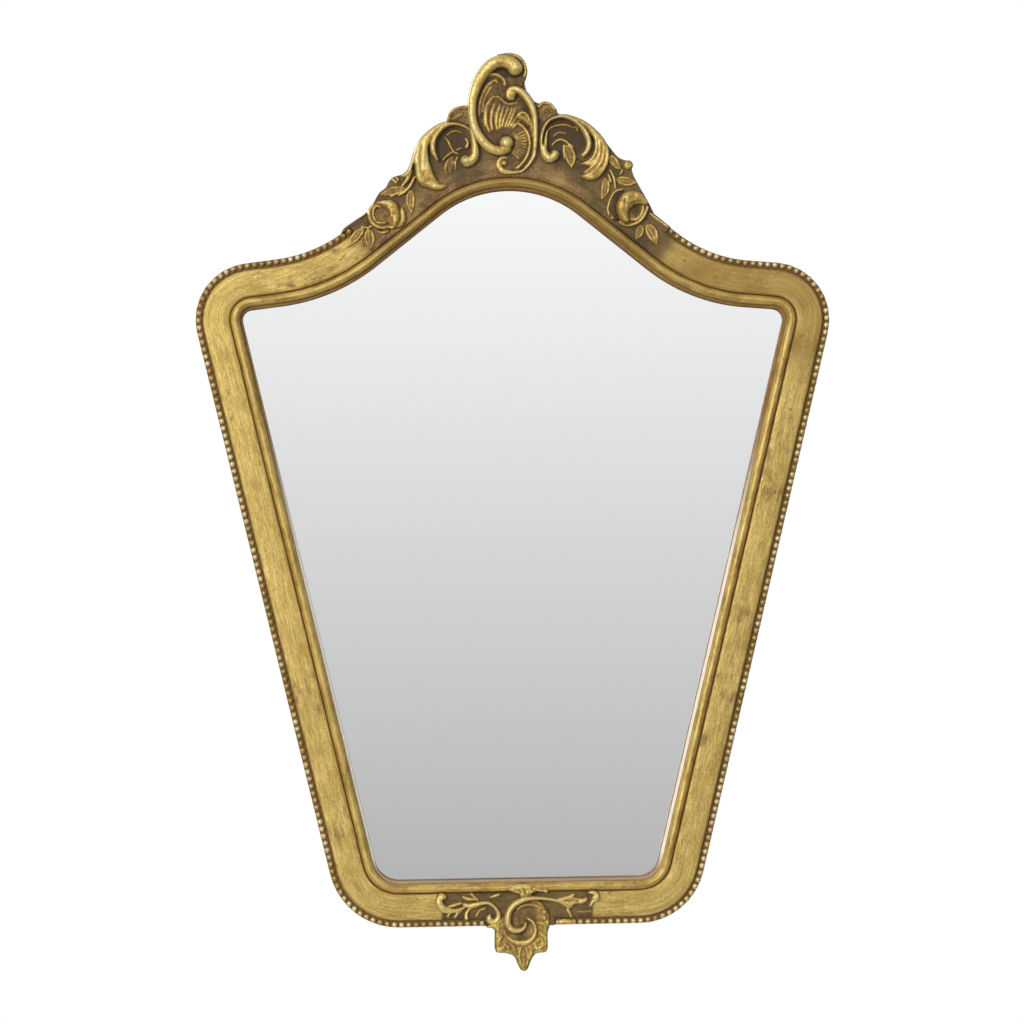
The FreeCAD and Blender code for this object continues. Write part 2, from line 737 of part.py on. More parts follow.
carved("crest_cartouche", cartouche())
carved("crest_scroll_left", crest_scroll(
    edge=[(-29.5, 7.5), (-37, 13), (-42.5, 14.5), (-52.5, 9.5), (-60, 3), (-65, -5.5), (-67.5, -14.5),
          (-65, -21), (-61.5, -26), (-55.5, -30.5), (-47.5, -32), (-42, -30), (-48.5, -24), (-52.5, -17),
          (-54, -8), (-52.5, 0.5), (-48.5, 6), (-42, 9), (-35, 8.5), (-31, 4.5)],
    spine=[(-34, 11), (-44, 11.5), (-52.5, 6.5), (-58, -2), (-60, -11.5), (-57.5, -20.5), (-52, -27)],
    curl=[(-34, 9), (-31, 2), (-30, -6), (-31.5, -12.5), (-36, -13.5), (-38, -9.5)],
    tuft=[(-43, 14.5), (-40, 22.5), (-35.5, 24.5), (-30, 24), (-30, 17), (-35.5, 12)],
))
carved("crest_scroll_right", crest_scroll(
    edge=[(25.5, 3.5), (26.5, 12), (31, 17.5), (40, 20), (49, 18), (58, 11), (65, 3), (70, -5.5), (69, -12.5),
          (66, -19), (60, -24.5), (51, -26), (48.5, -23), (54, -17), (52, -11.5), (54.5, -4), (54.5, 4),
          (50.5, 10.5), (43.5, 14.5), (35, 14.5), (30, 10), (29, 2.5)],
    spine=[(29, 13.5), (35, 17), (42, 17.5), (49.5, 14.5), (58, 6.5), (63, -2.5), (64, -11), (59, -19.5)],
    curl=[(28.5, 11), (27, 1), (28.5, -6.5), (33, -10), (37, -6.5)],
    tuft=[(25.5, 28), (30.5, 25.5), (35, 21.5), (31, 17), (26.5, 14), (25, 19)],
))
carved("rose_spray_left", rose_spray(
    side=-1,
    heart=(-1, -9),
    leaves=[((9, -7), (33.5, -10), 5.5), ((7, -11), (21.5, -20), 8), ((-25, -6), (-15, -19), 6.5),
            ((-20, -3), (-5, 4), 6.5)],
    stems=[[(-6, -7), (-14, -5), (-24, -6)], [(-14, -5), (-19, -1), (-19.5, 4)]],
    bud=(-19.5, 4),
))
carved("rose_spray_right", rose_spray(
    side=1,
    heart=(-5, -5.5),
    leaves=[((4, -6), (25.5, -14.5), 8.5), ((1, -9), (12, -20), 6), ((-27, -1), (-21, -14.5), 6.5),
            ((-23, 5), (-9, 10), 6)],
    stems=[[(-11, -3), (-18, 0), (-26, -1)], [(-18, 0), (-22.5, 6), (-22.5, 13)]],
    bud=(-22.5, 13),
))
carved("foot_scroll_left", foot_scroll(
    route=[(-16.5, 4.5), (-15, 9), (-18.5, 14), (-24, 15.5), (-31.5, 13), (-40, 10.5), (-48, 10.5),
           (-52.5, 14.5), (-50, 18.5)],
    volute=(-18, 5.5),
    root_leaf=((-37, 10.5), (-24, 17.5), 5),
    buds=[((-31, 13), (-35, 18.5), 4.5), ((-42, 11), (-46, 16.5), 4)],
))
carved("foot_scroll_right", foot_scroll(
    route=[(25, 15.5), (31, 15), (37, 12), (44, 10), (50, 11.5), (53, 15.5), (50.5, 18.5)],
    volute=(25.5, 15.5),
    root_leaf=((29, 15.5), (41, 17.5), 5),
    buds=[((32, 14), (34, 7.5), 4.5), ((40, 11), (46.5, 16), 4)],
))
pendant_front, pendant_back = pendant()
carved("foot_pendant", pendant_front)
pieces[-1].Shape = joined([pieces[-1].Shape, pendant_back])

# Mirror plate, lining and back board, one outline at three depths
plate_line = sight.offset(size.rebate_width - size.edge_clearance).line
lining_back = size.board_thickness
glass_back = lining_back + size.lining_thickness
shaped("mirror_plate", slab(plate_line, glass_back, rebate_depth))
shaped("backing_sheet", slab(plate_line, lining_back, glass_back))
shaped("back_board", slab(plate_line, 0, size.board_thickness))

# Setting blocks between the plate's lower edge and the rebate
block = primitive("Part::Box", "block", Length="sizes.block_length", Width="sizes.glass_thickness",
                  Height="sizes.edge_clearance")
rebate_floor = size.foot_corner_z - size.rebate_width
block_corners = [frame_point((side * size.block_spread - size.block_length / 2, rebate_floor), rebate_depth)
                 for side in (-1, 1)]
doc.recompute()
copies("setting_blocks", block, [Placement(corner, Rotation()) for corner in block_corners])

# Dowels
dowel = primitive("Part::Cylinder", "dowel", Radius="sizes.dowel_radius", Height="sizes.dowel_length")
doc.recompute()


def dowel_placement(place, direction):
    start = frame_point(moved(place, direction, -size.dowel_length / 2), size.dowel_height)
    return Placement(start, Rotation(Vector(0, 0, 1), Vector(direction[0], 0, direction[1])))


copies("corner_dowels", dowel, [dowel_placement(*spot) for spot in mitre_dowels])
copies("crest_dowels", dowel, [dowel_placement(*spot) for spot in crest_dowels])

# Slotted round-head wood screw, its axis along Z with the head's seat at zero and the shank below
shank = primitive("Part::Cylinder", "screw_shank", Radius="sizes.screw_radius", Height="sizes.screw_depth")
shank.setExpression("Placement.Base.z", "-sizes.screw_depth")
tip = primitive("Part::Cone", "screw_tip", Radius2="sizes.screw_radius", Height="sizes.screw_tip_length")
tip.Radius1 = 0
tip.setExpression("Placement.Base.z", "-sizes.screw_depth - sizes.screw_tip_length")
head = primitive("Part::Cone", "screw_head", Radius1="sizes.screw_head_radius",
                 Radius2="sizes.screw_head_top_radius", Height="sizes.screw_head_height")
screw_blank = doc.addObject("Part::MultiFuse", "screw_blank")
screw_blank.Shapes = [shank, tip, head]
slot = primitive("Part::Box", "screw_slot", Length="sizes.screw_head_radius * 2",
                 Width="sizes.screw_slot_width", Height="sizes.screw_slot_depth")
slot.setExpression("Placement.Base.x", "-sizes.screw_head_radius")
slot.setExpression("Placement.Base.y", "-sizes.screw_slot_width / 2")
slot.setExpression("Placement.Base.z", "sizes.screw_head_height - sizes.screw_slot_depth")
screw = doc.addObject("Part::Cut", "screw")
screw.Base = screw_blank
screw.Tool = slot
doc.recompute()


def screw_placement(place, height, quarter_turn=0.0):
    """A screw driven forward from behind, its head's seat at a height."""
    turn = Rotation(Vector(0, 1, 0), quarter_turn)
    return Placement(frame_point(place, height), turn.multiply(Rotation(Vector(0, 0, 1), Vector(0, 1, 0))))


button_back = -2 * size.running_clearance - size.button_thickness
SCREW_TURNS = [20, 75, 40, 110, 0, 65, 150, 95]
copies("turn_button_screws", screw, [screw_placement(place, button_back, turn)
                                     for (place, _), turn in zip(button_spots, SCREW_TURNS)])
copies("hanger_screws", screw, [screw_placement(place, -size.strap_thickness, turn)
                                for place, turn in zip(strap_screw_spots, (35, 120))])


# Turn buttons: a rounded bar drawn about its screw, pointing over the back board


def turn_button(label, place, across):
    body = doc.addObject("PartDesign::Body", label)
    plane = next(f for f in body.Origin.OriginFeatures if f.Role == "XY_Plane")
    sketch = body.newObject("Sketcher::SketchObject", label + "_outline")
    sketch.AttachmentSupport = (plane, [""])
    sketch.MapMode = "FlatFace"
    half = size.button_width / 2
    reach = size.button_length - size.button_width
    up = Vector(0, 0, 1)
    near = Part.ArcOfCircle(Part.Circle(Vector(0, 0, 0), up, half), math.pi / 2, 3 * math.pi / 2)
    far = Part.ArcOfCircle(Part.Circle(Vector(reach, 0, 0), up, half), -math.pi / 2, math.pi / 2)
    low = Part.LineSegment(Vector(0, -half, 0), Vector(reach, -half, 0))
    high = Part.LineSegment(Vector(reach, half, 0), Vector(0, half, 0))
    sketch.addGeometry([near, low, far, high, Part.Circle(Vector(0, 0, 0), up, pilot_radius)], False)
    limit = Sketcher.Constraint
    sketch.addConstraint([
        limit("Tangent", 0, 2, 1, 1), limit("Tangent", 1, 2, 2, 1), limit("Tangent", 2, 2, 3, 1),
        limit("Tangent", 3, 2, 0, 1), limit("Coincident", 0, 3, -1, 1), limit("PointOnObject", 2, 3, -1),
        limit("Coincident", 4, 3, -1, 1),
    ])
    bound = {
        "reach": (limit("DistanceX", 0, 3, 2, 3, reach), "sizes.button_length - sizes.button_width"),
        "half_width": (limit("Radius", 0, half), "sizes.button_width / 2"),
        "hole": (limit("Radius", 4, pilot_radius), "sizes.screw_radius + sizes.running_clearance"),
    }
    for name, (constraint, formula) in bound.items():
        sketch.renameConstraint(sketch.addConstraint(constraint), name)
        sketch.setExpression("Constraints." + name, formula)
    pad = body.newObject("PartDesign::Pad", label + "_plate")
    pad.Profile = sketch
    pad.setExpression("Length", "sizes.button_thickness")
    inward = Vector(-across[0], 0, -across[1])
    back = Vector(0, 1, 0)
    turn = Rotation(inward, back.cross(inward), back, "ZXY")
    body.Placement = Placement(frame_point(place, -size.running_clearance), turn)
    return keep(body, label)


for number, (place, across) in enumerate(button_spots, start=1):
    turn_button(f"turn_button_{number}", place, across)

# Hanger strap: a plate with a knuckle rolled at its top
strap_plate = primitive("Part::Box", "strap_plate", Length="sizes.strap_width", Width="sizes.strap_thickness",
                        Height="sizes.strap_length")
strap_plate.Placement.Base = frame_point((-size.strap_width / 2, knuckle_z - size.strap_length), 0)
along_x = Rotation(Vector(0, 0, 1), Vector(1, 0, 0))
knuckle_start = frame_point((-size.strap_width / 2, knuckle_z), -knuckle_radius)
barrel = primitive("Part::Cylinder", "strap_barrel", Height="sizes.strap_width",
                   Radius="sizes.ring_wire_radius + sizes.running_clearance + sizes.strap_thickness")
bore = primitive("Part::Cylinder", "strap_bore", Height="sizes.strap_width",
                 Radius="sizes.ring_wire_radius + sizes.running_clearance")
for cylinder in (barrel, bore):
    cylinder.Placement = Placement(knuckle_start, along_x)
strap_blank = doc.addObject("Part::Fuse", "strap_blank")
strap_blank.Base = strap_plate
strap_blank.Tool = barrel
strap_holes = [bore]
for number, place in enumerate(strap_screw_spots, start=1):
    hole = primitive("Part::Cylinder", f"strap_hole_{number}", Height="sizes.strap_thickness",
                     Radius="sizes.screw_radius + sizes.running_clearance")
    hole.Placement = Placement(frame_point(place, 0), Rotation(Vector(0, 0, 1), Vector(0, 1, 0)))
    strap_holes.append(hole)
strap_cutters = doc.addObject("Part::MultiFuse", "strap_cutters")
strap_cutters.Shapes = strap_holes
strap = doc.addObject("Part::Cut", "strap")
strap.Base = strap_blank
strap.Tool = strap_cutters
keep(strap, "hanger_strap")

# Hanger ring: a D of round wire, its bar in the knuckle and its top at the origin's height
ring_corners = [
    (-size.ring_half_width, knuckle_z, size.ring_corner_radius),
    (-size.ring_half_width, knuckle_z + size.ring_shoulder, size.ring_corner_radius),
    (-size.ring_half_width / 2, 0.0, size.ring_half_width),
    (size.ring_half_width / 2, 0.0, size.ring_half_width),
    (size.ring_half_width, knuckle_z + size.ring_shoulder, size.ring_corner_radius),
    (size.ring_half_width, knuckle_z, size.ring_corner_radius),
]
shaped("hanger_ring", swept(round_section(size.ring_wire_radius, -knuckle_radius), rounded(ring_corners)))

# Wall bumpers on the back of the bottom rail
for label, side in (("wall_bumper_left", -1), ("wall_bumper_right", 1)):
    bumper = primitive("Part::Cylinder", label, Radius="sizes.bumper_radius", Height="sizes.wall_gap")
    place = (side * size.bumper_x, size.foot_corner_z - size.bumper_across)
    bumper.Placement = Placement(frame_point(place, 0), Rotation(Vector(0, 0, 1), Vector(0, 1, 0)))
    keep(bumper, label)

doc.recompute()
failed = [item.Label for item in doc.Objects if "Invalid" in item.State or "Error" in item.State]
for piece in pieces:
    if piece.Shape.isNull() or not piece.Shape.isValid() or not piece.Shape.Solids:
        failed.append(piece.Label)
if failed:
    raise RuntimeError("these objects failed: " + ", ".join(failed))
os.makedirs("parts", exist_ok=True)
for piece in pieces:
    piece.Shape.exportStep(f"parts/{piece.Label}.step")
    print(piece.Label, len(piece.Shape.Solids), "solids", round(piece.Shape.Volume, 1), "mm3")
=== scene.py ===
"""Looks of the crested giltwood mirror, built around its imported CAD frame."""
import math

import bmesh
import bpy
import numpy as np
from mathutils import Matrix, Vector
from mathutils.geometry import delaunay_2d_cdt


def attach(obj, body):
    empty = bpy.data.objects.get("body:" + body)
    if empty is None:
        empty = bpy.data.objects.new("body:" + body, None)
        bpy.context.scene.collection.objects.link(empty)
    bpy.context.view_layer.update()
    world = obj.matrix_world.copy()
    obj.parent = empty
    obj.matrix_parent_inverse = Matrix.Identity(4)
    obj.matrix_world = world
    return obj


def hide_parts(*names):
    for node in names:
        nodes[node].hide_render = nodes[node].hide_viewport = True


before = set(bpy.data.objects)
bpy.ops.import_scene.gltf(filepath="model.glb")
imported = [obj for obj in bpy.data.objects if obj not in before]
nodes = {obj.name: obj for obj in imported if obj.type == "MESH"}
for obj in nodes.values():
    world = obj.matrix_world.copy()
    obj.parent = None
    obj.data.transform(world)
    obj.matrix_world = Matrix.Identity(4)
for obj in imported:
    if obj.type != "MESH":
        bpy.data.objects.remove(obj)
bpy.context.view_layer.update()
MM = 0.001

# The frame's sight line in millimetres: corner x, corner z and bend radius, clockwise from the upper left
SIGHT_CORNERS = [
    (-190.3, -139.8, 7.0), (-124.3, -131.0, 134.0), (-1.9, -33.6, 77.7), (124.6, -133.9, 126.0),
    (192.2, -138.8, 7.5), (97.4, -536.9, 14.0), (-95.7, -537.4, 17.0),
]
LEFT_TOP, LEFT_SHOULDER, PEAK, RIGHT_SHOULDER, RIGHT_TOP, RIGHT_FOOT, LEFT_FOOT = range(7)
WALL_GAP = 6.0
FRAME_WIDTH = 32.5
REBATE_WIDTH = 8.0
REBATE_DEPTH = 7.8
SEAT_HEIGHT = 10.8
BAND_HEIGHT = 15.0
BEAD_LINE = 30.4
BEAD_RADIUS = 2.15
BEAD_PITCH = 5.14
BEAD_HEIGHT = 12.9
LEAST_BEAD = (0.90, 0.90, 0.92)
FULLEST_BEAD = (1.04, 1.02, 1.06)
BEAD_STOP_CREST = 55.5
BEAD_STOP_FOOT = 24.0
CREST_TOP = (-3.0, -23.4)
FOOT_LOW = (-0.5, -568.3)
MERGE_GAP = 1e-6
SHARP_ANGLE = 40.0


# Plane geometry of the frame, in the front view
def sampled_line(corners, step):
    """Points, outward directions and stations along a closed line, and the stations of its round bends."""
    points, outs, stations, bends = [], [], [], []
    centres = [np.array(corner[:2]) for corner in corners]
    count = len(corners)
    headings, lengths = [], []
    for i in range(count):
        run = centres[(i + 1) % count] - centres[i]
        lengths.append(np.linalg.norm(run))
        headings.append(run / lengths[-1])
    turns = []
    for i in range(count):
        before, after = headings[i - 1], headings[i]
        turns.append(math.atan2(before[0] * after[1] - before[1] * after[0], before @ after))
    reach = [corner[2] * math.tan(abs(turn) / 2) for corner, turn in zip(corners, turns)]
    travelled = 0.0
    for i, (corner, turn) in enumerate(zip(corners, turns)):
        radius = corner[2]
        start = centres[i] - headings[i - 1] * reach[i]
        out = np.array([-headings[i - 1][1], headings[i - 1][0]])
        side = math.copysign(1.0, turn)
        middle = start + out * side * radius
        arc = abs(turn) * radius
        bends.append((travelled, travelled + arc / 2, travelled + arc))
        steps = 2 * max(4, round(arc / step / 2))
        for k in range(steps):
            angle = turn * k / steps
            turned = np.array([[math.cos(angle), -math.sin(angle)], [math.sin(angle), math.cos(angle)]]) @ out
            points.append(middle - turned * side * radius)
            outs.append(turned)
            stations.append(travelled + arc * k / steps)
        travelled += arc
        straight = lengths[i] - reach[i] - reach[(i + 1) % count]
        leave = centres[i] + headings[i] * reach[i]
        out = np.array([-headings[i][1], headings[i][0]])
        steps = max(1, round(straight / step))
        for k in range(steps):
            points.append(leave + headings[i] * straight * k / steps)
            outs.append(out)
            stations.append(travelled + straight * k / steps)
        travelled += straight
    return np.array(points), np.array(outs), np.array(stations), bends, travelled


LINE_STEP = 2.5
LEAST_STEP = 0.05
END_STUB = 0.3
line_points, line_outs, line_stations, bends, line_length = sampled_line(SIGHT_CORNERS, LINE_STEP)


def stubbed(values, stubs):
    """Rows with one more a stub inside each end, which keeps the ends of a run square."""
    first, last = values[:1], values[-1:]
    return np.concatenate([first, first + stubs[:1], values[1:-1], last - stubs[-1:], last])


def along_frame(start, end, offset=0.0, extra=()):
    """Places and stations of a line at an offset from the sight line, between two stations."""
    twice = np.concatenate([line_stations, line_stations + line_length])
    inner = twice[(twice > start + LEAST_STEP) & (twice < end - LEAST_STEP)]
    stations = np.unique(np.concatenate([[start, end], inner, list(extra)]))
    marks = np.append(twice, 2 * line_length)
    columns = []
    for values in np.hstack([line_points, line_outs]).T:
        columns.append(np.interp(stations, marks, np.append(np.tile(values, 2), values[0])))
    x, z, out_x, out_z = columns
    outs = np.stack([out_x, out_z], 1) / np.hypot(out_x, out_z)[:, None]
    places = np.stack([x, z], 1) + offset * outs
    headings = np.stack([outs[:, 1], -outs[:, 0]], 1)
    return stubbed(places, END_STUB * headings), stubbed(stations, np.full(len(stations), END_STUB))


crest_start, crest_end = bends[LEFT_TOP][1], bends[RIGHT_TOP][1]
foot_start, foot_end = bends[RIGHT_FOOT][1], bends[LEFT_FOOT][1]
foot_middle = (bends[RIGHT_FOOT][2] + bends[LEFT_FOOT][0]) / 2
round_again = line_length + crest_start
crest_bare = (bends[PEAK][0] - BEAD_STOP_CREST, bends[PEAK][2] + BEAD_STOP_CREST)
foot_bare = (foot_middle - BEAD_STOP_FOOT, foot_middle + BEAD_STOP_FOOT)


def smooth_step(value, low, high):
    """From 0 at the low limit to 1 at the high one, eased at both."""
    share = np.clip((value - low) / (high - low), 0.0, 1.0)
    return share * share * (3 - 2 * share)


# Node trees
class Nodes:
    """A node tree in work."""

    def __init__(self, tree):
        self.tree = tree

    def add(self, kind, links=None, **settings):
        """A node with its settings, and its inputs joined to sockets or set to values."""
        node = self.tree.nodes.new(kind)
        for key, value in settings.items():
            setattr(node, key, value)
        for key, value in (links or {}).items():
            self.join(value, node.inputs[key])
        return node

    def made(self, kind, links=None, **settings):
        """The first output of a new node."""
        return self.add(kind, links, **settings).outputs[0]

    def join(self, value, socket):
        if isinstance(value, bpy.types.NodeSocket):
            self.tree.links.new(value, socket)
        else:
            socket.default_value = value

    def maths(self, operation, *values):
        """Two or more values taken together, one after the other."""
        total = values[0]
        for value in values[1:]:
            total = self.made("ShaderNodeMath", {0: total, 1: value}, operation=operation)
        return total

    def mix(self, share, first, second, kind="MIX"):
        links = {0: share, 6: first, 7: second}
        return self.add("ShaderNodeMix", links, data_type="RGBA", blend_type=kind).outputs[2]


class Tree(Nodes):
    """A Geometry Nodes tree in work."""

    def __init__(self, name, inputs):
        super().__init__(bpy.data.node_groups.new(name, "GeometryNodeTree"))
        face = self.tree.interface
        face.new_socket("Geometry", in_out="INPUT", socket_type="NodeSocketGeometry")
        for label, kind in inputs.items():
            face.new_socket(label, in_out="INPUT", socket_type="NodeSocket" + kind)
        face.new_socket("Geometry", in_out="OUTPUT", socket_type="NodeSocketGeometry")
        self.inputs = self.add("NodeGroupInput").outputs

    def attribute(self, name):
        node = self.add("GeometryNodeInputNamedAttribute", {"Name": name}, data_type="FLOAT")
        return node.outputs["Attribute"]

    def swept(self):
        """The line that comes in, its normals to the front, and the section carried along it."""
        curve = self.made("GeometryNodeMeshToCurve", {"Mesh": self.inputs["Geometry"]})
        links = {"Curve": curve, "Normal": (0.0, -1.0, 0.0)}
        line = self.made("GeometryNodeSetCurveNormal", links, mode="FREE")
        shape = self.add("GeometryNodeObjectInfo", {"Object": self.inputs["Section"]}).outputs["Geometry"]
        section = self.made("GeometryNodeMeshToCurve", {"Mesh": shape})
        links = {"Curve": line, "Profile Curve": section, "Fill Caps": True}
        return line, self.made("GeometryNodeCurveToMesh", links)

    def forward(self, distance):
        """An offset towards the front."""
        return self.made("ShaderNodeCombineXYZ", {"Y": self.maths("MULTIPLY", distance, -1.0)})

    def end(self, geometry):
        """Instances made real, one material, and out."""
        real = self.made("GeometryNodeRealizeInstances", {"Geometry": geometry})
        links = {"Geometry": real, "Material": self.inputs["Material"]}
        dressed = self.made("GeometryNodeSetMaterial", links)
        self.add("NodeGroupOutput", {0: dressed})
        return self.tree


def moulding_tree():
    """A section carried along a line, raised where the bead ledge is left out, and a little uneven."""
    tree = Tree("moulding_run", {
        "Section": "Object", "Unevenness": "Float", "Wave": "Float", "Material": "Material",
    })
    swept = tree.swept()[1]
    lift = tree.maths("MULTIPLY", tree.attribute("bare"), tree.attribute("rise"))
    noise = tree.made("ShaderNodeTexNoise", {"Scale": tree.inputs["Wave"], "Detail": 2.0})
    wave = tree.maths("MULTIPLY", tree.maths("SUBTRACT", noise, 0.5), tree.inputs["Unevenness"])
    free = tree.maths("MULTIPLY", wave, tree.attribute("shown"))
    offset = tree.forward(tree.maths("ADD", lift, free))
    return tree.end(tree.made("GeometryNodeSetPosition", {"Geometry": swept, "Offset": offset}))


def bead_tree():
    """A strip along a line, with a row of slightly uneven beads on it."""
    tree = Tree("bead_row", {
        "Section": "Object", "Bead radius": "Float", "Bead height": "Float", "Margin": "Float",
        "Count": "Int", "Seed": "Int", "Material": "Material",
    })
    line, strip = tree.swept()
    margin = tree.inputs["Margin"]
    last = tree.maths("SUBTRACT", tree.made("GeometryNodeCurveLength", {"Curve": line}), margin)
    trimmed = tree.made("GeometryNodeTrimCurve", {"Curve": line, 4: margin, 5: last}, mode="LENGTH")
    row = tree.made("GeometryNodeResampleCurve", {"Curve": trimmed, "Count": tree.inputs["Count"]})
    points = tree.add("GeometryNodeCurveToPoints", {"Curve": row}, mode="EVALUATED").outputs
    size = tree.inputs["Bead radius"]
    ball = tree.made("GeometryNodeMeshIcoSphere", {"Radius": size, "Subdivisions": 2})
    smooth = tree.made("GeometryNodeSetShadeSmooth", {0: ball})
    spread = tree.made("FunctionNodeRandomValue", {
        0: LEAST_BEAD, 1: FULLEST_BEAD, "Seed": tree.inputs["Seed"],
    }, data_type="FLOAT_VECTOR")
    beads = tree.made("GeometryNodeInstanceOnPoints", {
        "Points": points[0], "Instance": smooth, "Scale": spread, "Rotation": points["Rotation"],
    })
    seated = tree.made("GeometryNodeTranslateInstances", {
        "Instances": beads, "Translation": tree.forward(tree.inputs["Bead height"]), "Local Space": False,
    })
    both = tree.add("GeometryNodeJoinGeometry")
    for part in (strip, seated):
        tree.join(part, both.inputs[0])
    return tree.end(both.outputs[0])


def line_object(name, places, closed, **attributes):
    """A scratch mesh line that a tree reads, with a number at each point under each name."""
    mesh = bpy.data.meshes.new(name)
    edges = [(i, i + 1) for i in range(len(places) - 1)]
    if closed:
        edges.append((len(places) - 1, 0))
    mesh.from_pydata([tuple(c * MM for c in place) for place in places], edges, [])
    for key, values in attributes.items():
        layer = mesh.attributes.new(key, "FLOAT", "POINT")
        layer.data.foreach_set("value", np.asarray(values, np.float32))
    item = bpy.data.objects.new(name, mesh)
    bpy.context.scene.collection.objects.link(item)
    return item


def section_object(name, rows, wall_rows=()):
    """A section from its rows, and which of them are the bare inner wall."""
    out, height, grime, rise, shown = np.array(rows, float).T
    wall = [float(row in wall_rows) for row in range(len(rows))]
    places = np.stack([height, -out, np.zeros(len(rows))], 1)
    marks = {"grime": grime, "rise": rise * MM, "shown": shown, "out": out * MM, "wall": wall}
    return line_object(name, places, True, **marks)


def settled(name, item, group, settings):
    """The tree's result on an object as a plain mesh object, the scratch object removed."""
    modifier = item.modifiers.new(group.name, "NODES")
    modifier.node_group = group
    for socket in group.interface.items_tree:
        if socket.in_out == "INPUT" and socket.name in settings:
            modifier[socket.identifier] = settings[socket.name]
    depsgraph = bpy.context.evaluated_depsgraph_get()
    mesh = bpy.data.meshes.new_from_object(item.evaluated_get(depsgraph), depsgraph=depsgraph)
    item.modifiers.remove(modifier)
    bpy.data.objects.remove(item)
    return placed(name, mesh)


def placed(name, mesh, sharp=SHARP_ANGLE):
    """A mesh as a scene object, doubles merged, faces outwards, round edges smooth."""
    work = bmesh.new()
    work.from_mesh(mesh)
    bmesh.ops.remove_doubles(work, verts=work.verts, dist=MERGE_GAP)
    bmesh.ops.recalc_face_normals(work, faces=work.faces)
    for face in work.faces:
        face.smooth = True
    work.to_mesh(mesh)
    work.free()
    mesh.set_sharp_from_angle(angle=math.radians(sharp))
    mesh.name = name
    piece = bpy.data.objects.new(name, mesh)
    bpy.context.scene.collection.objects.link(piece)
    return piece


def fitted(piece, slot, *replaced, body="mirror"):
    """A finished piece rides on its body and stands for its CAD nodes."""
    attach(piece, body)
    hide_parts(*replaced)
    return piece


# Materials
class Finish(Nodes):
    """A procedural material in work."""

    def __init__(self, name):
        self.material = bpy.data.materials.new(name)
        self.material.use_nodes = True
        super().__init__(self.material.node_tree)

    def attribute(self, name):
        return self.add("ShaderNodeAttribute", attribute_name=name).outputs["Fac"]

    def scaled(self, vector, scale):
        return self.made("ShaderNodeMapping", {"Vector": vector, "Scale": scale})

    def place(self, scale=(1.0, 1.0, 1.0)):
        return self.scaled(self.add("ShaderNodeTexCoord").outputs["Object"], scale)

    def axis(self, vector, name):
        return self.add("ShaderNodeSeparateXYZ", {"Vector": vector}).outputs[name]

    def noise(self, vector, scale, detail=3.0, roughness=0.55):
        return self.add("ShaderNodeTexNoise", {
            "Vector": vector, "Scale": scale, "Detail": detail, "Roughness": roughness,
        }).outputs["Fac"]

    def run(self):
        """How far along the frame and how far out a point of a moulding lies."""
        return self.made("ShaderNodeCombineXYZ", {"X": self.attribute("along"), "Y": self.attribute("out")})

    def streaks(self, run, along, across, detail=3.0, roughness=0.55):
        """A noise stretched along the run."""
        return self.noise(self.scaled(run, (along, across, 1.0)), 1.0, detail, roughness)

    def band(self, value, low, high, bottom=0.0, top=1.0):
        """A value eased from bottom to top between two limits."""
        return self.made("ShaderNodeMapRange", {
            "Value": value, "From Min": low, "From Max": high, "To Min": bottom, "To Max": top,
        }, interpolation_type="SMOOTHSTEP")

    def blend(self, parts, start=0.0):
        """Noises taken about their middle, weighted and added to a start."""
        total = start
        for value, weight in parts:
            swing = self.maths("MULTIPLY", self.maths("SUBTRACT", value, 0.5), weight)
            total = self.maths("ADD", swing, total)
        return total

    def bump(self, height, strength, distance):
        return self.made("ShaderNodeBump", {"Height": height, "Strength": strength, "Distance": distance})

    def end(self, **sockets):
        """Values and sockets for the shader's own inputs, by name with underscores for spaces."""
        shader = self.tree.nodes["Principled BSDF"]
        for key, value in sockets.items():
            self.join(value, shader.inputs[key.replace("_", " ")])
        return self.material


def tone(red, green, blue):
    """A colour given in screen values of 0 to 255."""
    linear = []
    for value in (red, green, blue):
        share = value / 255
        linear.append(share / 12.92 if share <= 0.04045 else ((share + 0.055) / 1.055) ** 2.4)
    return (*linear, 1.0)


LEAF_LIGHT = tone(236, 213, 146)
LEAF_GOLD = tone(216, 186, 106)
LEAF_DEEP = tone(180, 150, 78)
# the next three colour the carving's low parts and crevices: wash and painted shade
UMBER = tone(100, 76, 40)
CREVICE_SHADE_AND_WASH = tone(62, 45, 22)
WASH_AND_SHADE_BROWN = tone(142, 112, 62)
GESSO = tone(240, 232, 212)
RAW_WOOD = tone(176, 138, 96)
WOOD_GRAIN = tone(140, 104, 68)
GROUND_DARK = tone(78, 61, 33)
GROUND_LIGHT = tone(120, 96, 54)
SMUDGE = tone(144, 110, 60)
# colour of grime and painted shade in the quirk and along the frame's edges
QUIRK = tone(134, 97, 46)
# the darker ground inside the scroll eyes
EYE_DARKENING = tone(72, 53, 28)
# Eyes of the two great scrolls as x, z and reach, and where a piece's back begins, in metres
SCROLL_EYES = ((-0.0440, -0.0250, 0.0165), (0.0360, -0.0200, 0.0185))
WALL_SIDE = (-0.0068, -0.0061)


def in_scroll_eyes(finish, place, colour):
    """Darker ground in the eyes of the two great scrolls, on board and rail alike."""
    flat = finish.scaled(place, (1.0, 0.0, 1.0))
    for x, z, reach in SCROLL_EYES:
        apart = finish.add("ShaderNodeVectorMath", {0: flat, 1: (x, 0.0, z)}, operation="DISTANCE")
        gap = apart.outputs["Value"]
        colour = finish.mix(finish.band(gap, reach, 0.7 * reach), colour, EYE_DARKENING)
    return colour


def raw_behind(finish, place, strokes, colour):
    """Raw wood on the side of a gilded piece that faces the wall, and where that is."""
    back = finish.band(finish.axis(place, "Y"), *WALL_SIDE)
    wood = finish.mix(finish.band(strokes, 0.35, 0.7), RAW_WOOD, WOOD_GRAIN)
    return finish.mix(back, colour, wood), back


